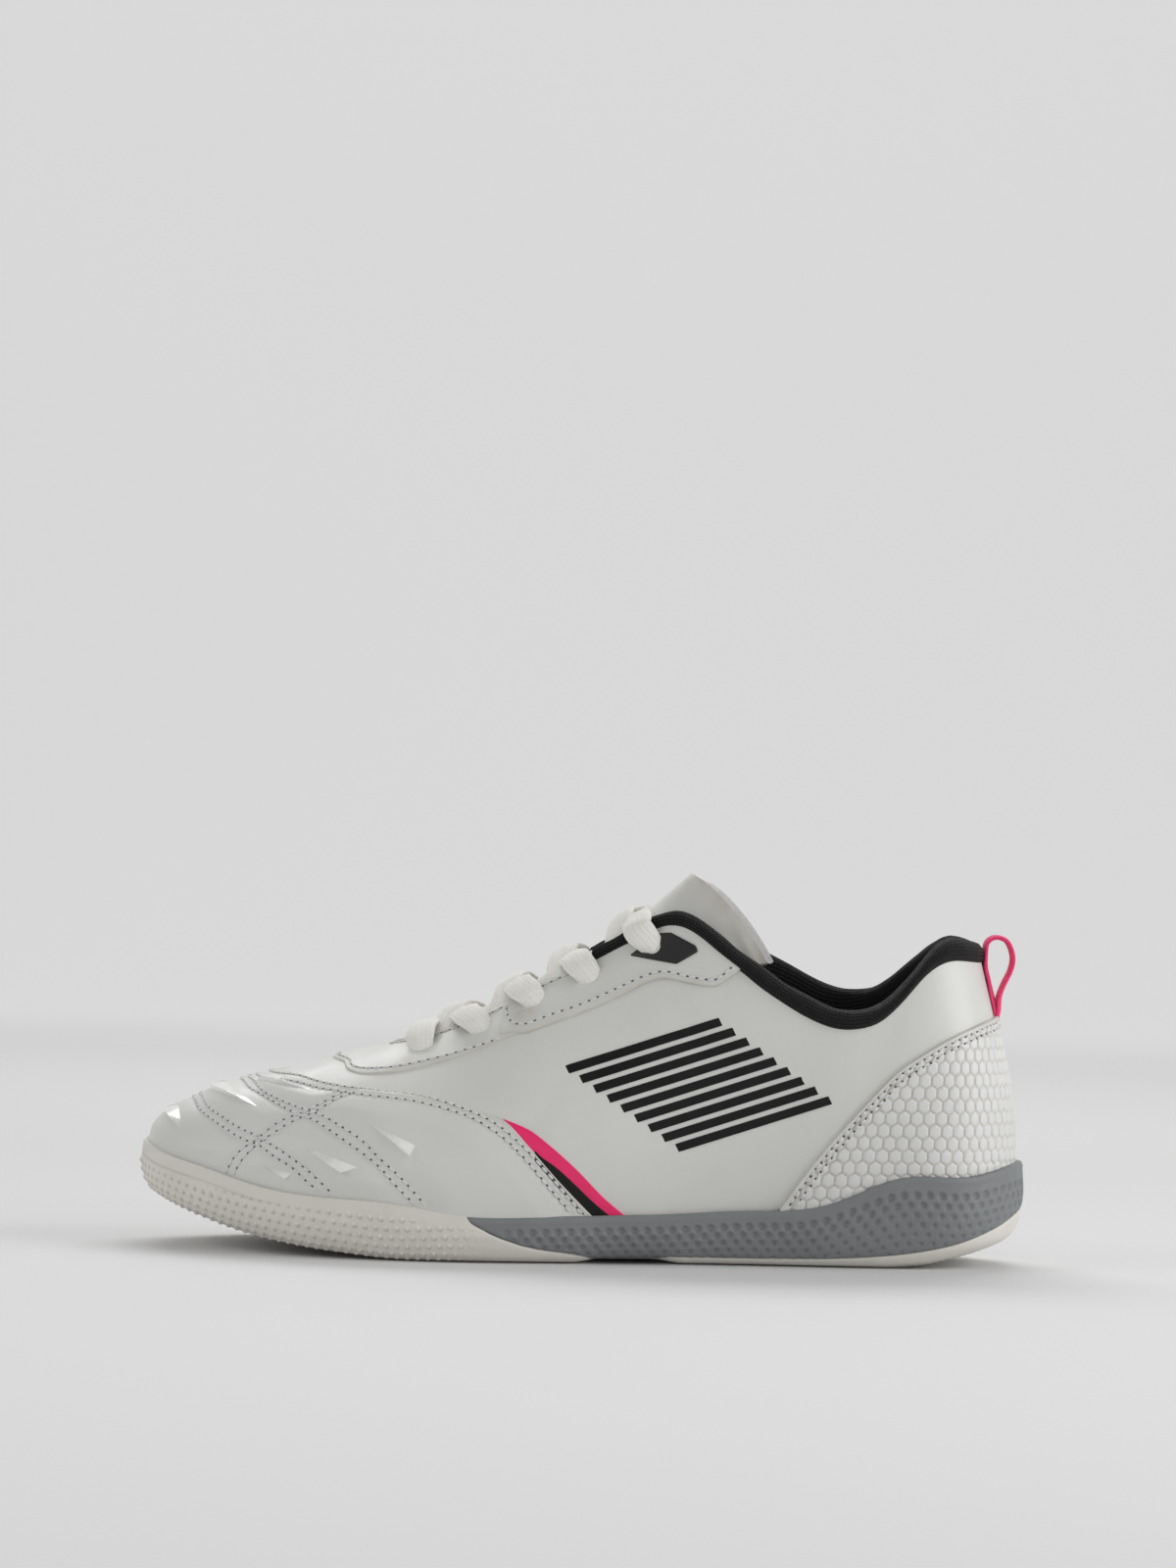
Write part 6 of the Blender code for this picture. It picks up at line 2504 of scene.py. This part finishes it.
@dataclass
class Studio:
    """Pale seamless floor and soft light from above and both ends."""

    floor_half: float = 4.0
    back: float = -1.6
    sweep: float = 0.9
    wall: float = 3.0
    fill: tuple[float, float, float, float] = (-0.3, -1.6, 0.0, 0.345)
    shade: tuple[float, float, float, float] = (0.7, -0.45, 0.0, 1.0)
    near_grey: float = 0.84
    far_grey: float = 0.67
    surrounding: float = 0.39
    aim: tuple[float, float, float] = (0.0, 0.0, 0.05)
    lamps: tuple[Lamp, ...] = (
        Lamp("top_light", (0.0, -0.9, 1.15), (1.3, 0.6), 4.3, 110.0),
        Lamp("toe_light", (1.2, 0.4, 0.75), (0.8, 0.8), 3.2),
        Lamp("heel_light", (-1.4, 0.35, 0.6), (1.0, 1.0), 11.0),
        Lamp("front_light", (-0.2, 1.7, 0.4), (1.6, 0.8), 2.6),
    )

    @staticmethod
    def by_depth(board: Board, span: tuple[float, ...]) -> Socket:
        """Smooth step along the depth of the floor.

        Args:
            board: the floor's node board.
            span: where it starts and ends, and its first and last value.

        Returns:
            The step's socket.
        """
        depth = board.node("SeparateXYZ", Vector=board.place).outputs["Y"]
        ends = dict(zip(("From_Min", "From_Max", "To_Min", "To_Max"), span))
        step = board.node("MapRange", Value=depth, **ends)
        step.interpolation_type = "SMOOTHSTEP"
        return step.outputs["Result"]

    def add_floor(self) -> None:
        """Floor that curves up into a plain backdrop behind the shoe."""
        turn = np.linspace(0, math.pi / 2, 24)
        profile = [(self.floor_half, 0.0)]
        profile += [(self.back - self.sweep * math.sin(t), self.sweep * (1 - math.cos(t))) for t in turn]
        profile.append((self.back - self.sweep, self.wall))
        points = np.array([[(x, y, z) for x in (-self.floor_half, self.floor_half)] for y, z in profile])
        mesh = bpy.data.meshes.new("studio_floor")
        mesh.from_pydata(points.reshape(-1, 3).tolist(), [], grid_faces(len(profile), 2))
        mesh.shade_smooth()
        board = Board("studio_floor")
        greys = [(grey, grey, grey) for grey in (self.near_grey, self.far_grey)]
        material = board.dressed(
            Base_Color=board.blend(self.by_depth(board, self.shade), *greys),
            Emission_Strength=self.by_depth(board, self.fill),
            Emission_Color=(1.0, 1.0, 1.0),
            Roughness=0.9,
            Specular_IOR_Level=0.1,
        )
        mesh.materials.append(material)
        floor = bpy.data.objects.new("studio_floor", mesh)
        bpy.context.scene.collection.objects.link(floor)

    def add_lamp(self, lamp: Lamp) -> None:
        """One soft rectangular light aimed at the shoe.

        Args:
            lamp: its sizes.
        """
        data = bpy.data.lights.new(lamp.name, "AREA")
        data.shape = "RECTANGLE"
        data.size, data.size_y = lamp.size
        data.energy = lamp.power
        data.spread = math.radians(lamp.spread_deg)
        light = bpy.data.objects.new(lamp.name, data)
        light.location = lamp.place
        light.rotation_euler = (Vector(self.aim) - Vector(lamp.place)).to_track_quat("-Z", "Y").to_euler()
        bpy.context.scene.collection.objects.link(light)

    def build(self) -> None:
        """Builds floor, lights and an even surrounding light."""
        self.add_floor()
        for lamp in self.lamps:
            self.add_lamp(lamp)
        world = bpy.data.worlds.new("studio")
        world.use_nodes = True
        around_all = world.node_tree.nodes["Background"].inputs
        around_all["Color"].default_value = (0.9, 0.9, 0.9, 1.0)
        around_all["Strength"].default_value = self.surrounding
        scene = bpy.context.scene
        scene.world = world
        scene.view_settings.view_transform = "Standard"


def main() -> None:
    """Builds the shoe piece by piece, then the studio."""
    logging.basicConfig(level=logging.INFO, format="%(message)s")
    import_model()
    view = PhotoView()
    view.add_camera()
    last = Last()
    draper = Draper(last, view)
    finishes = Finishes()
    tongue = Tongue(finishes)
    Sole(last, finishes).build()
    Insole(last, finishes).build()
    Upper(last, draper, finishes).build()
    HeelCounter(last, finishes).build()
    Collar(last, finishes).build()
    tongue.build()
    Lacing(last, tongue, finishes).build()
    PullLoop(last, finishes).build()
    Studio().build()


if __name__ == "__main__":
    main()
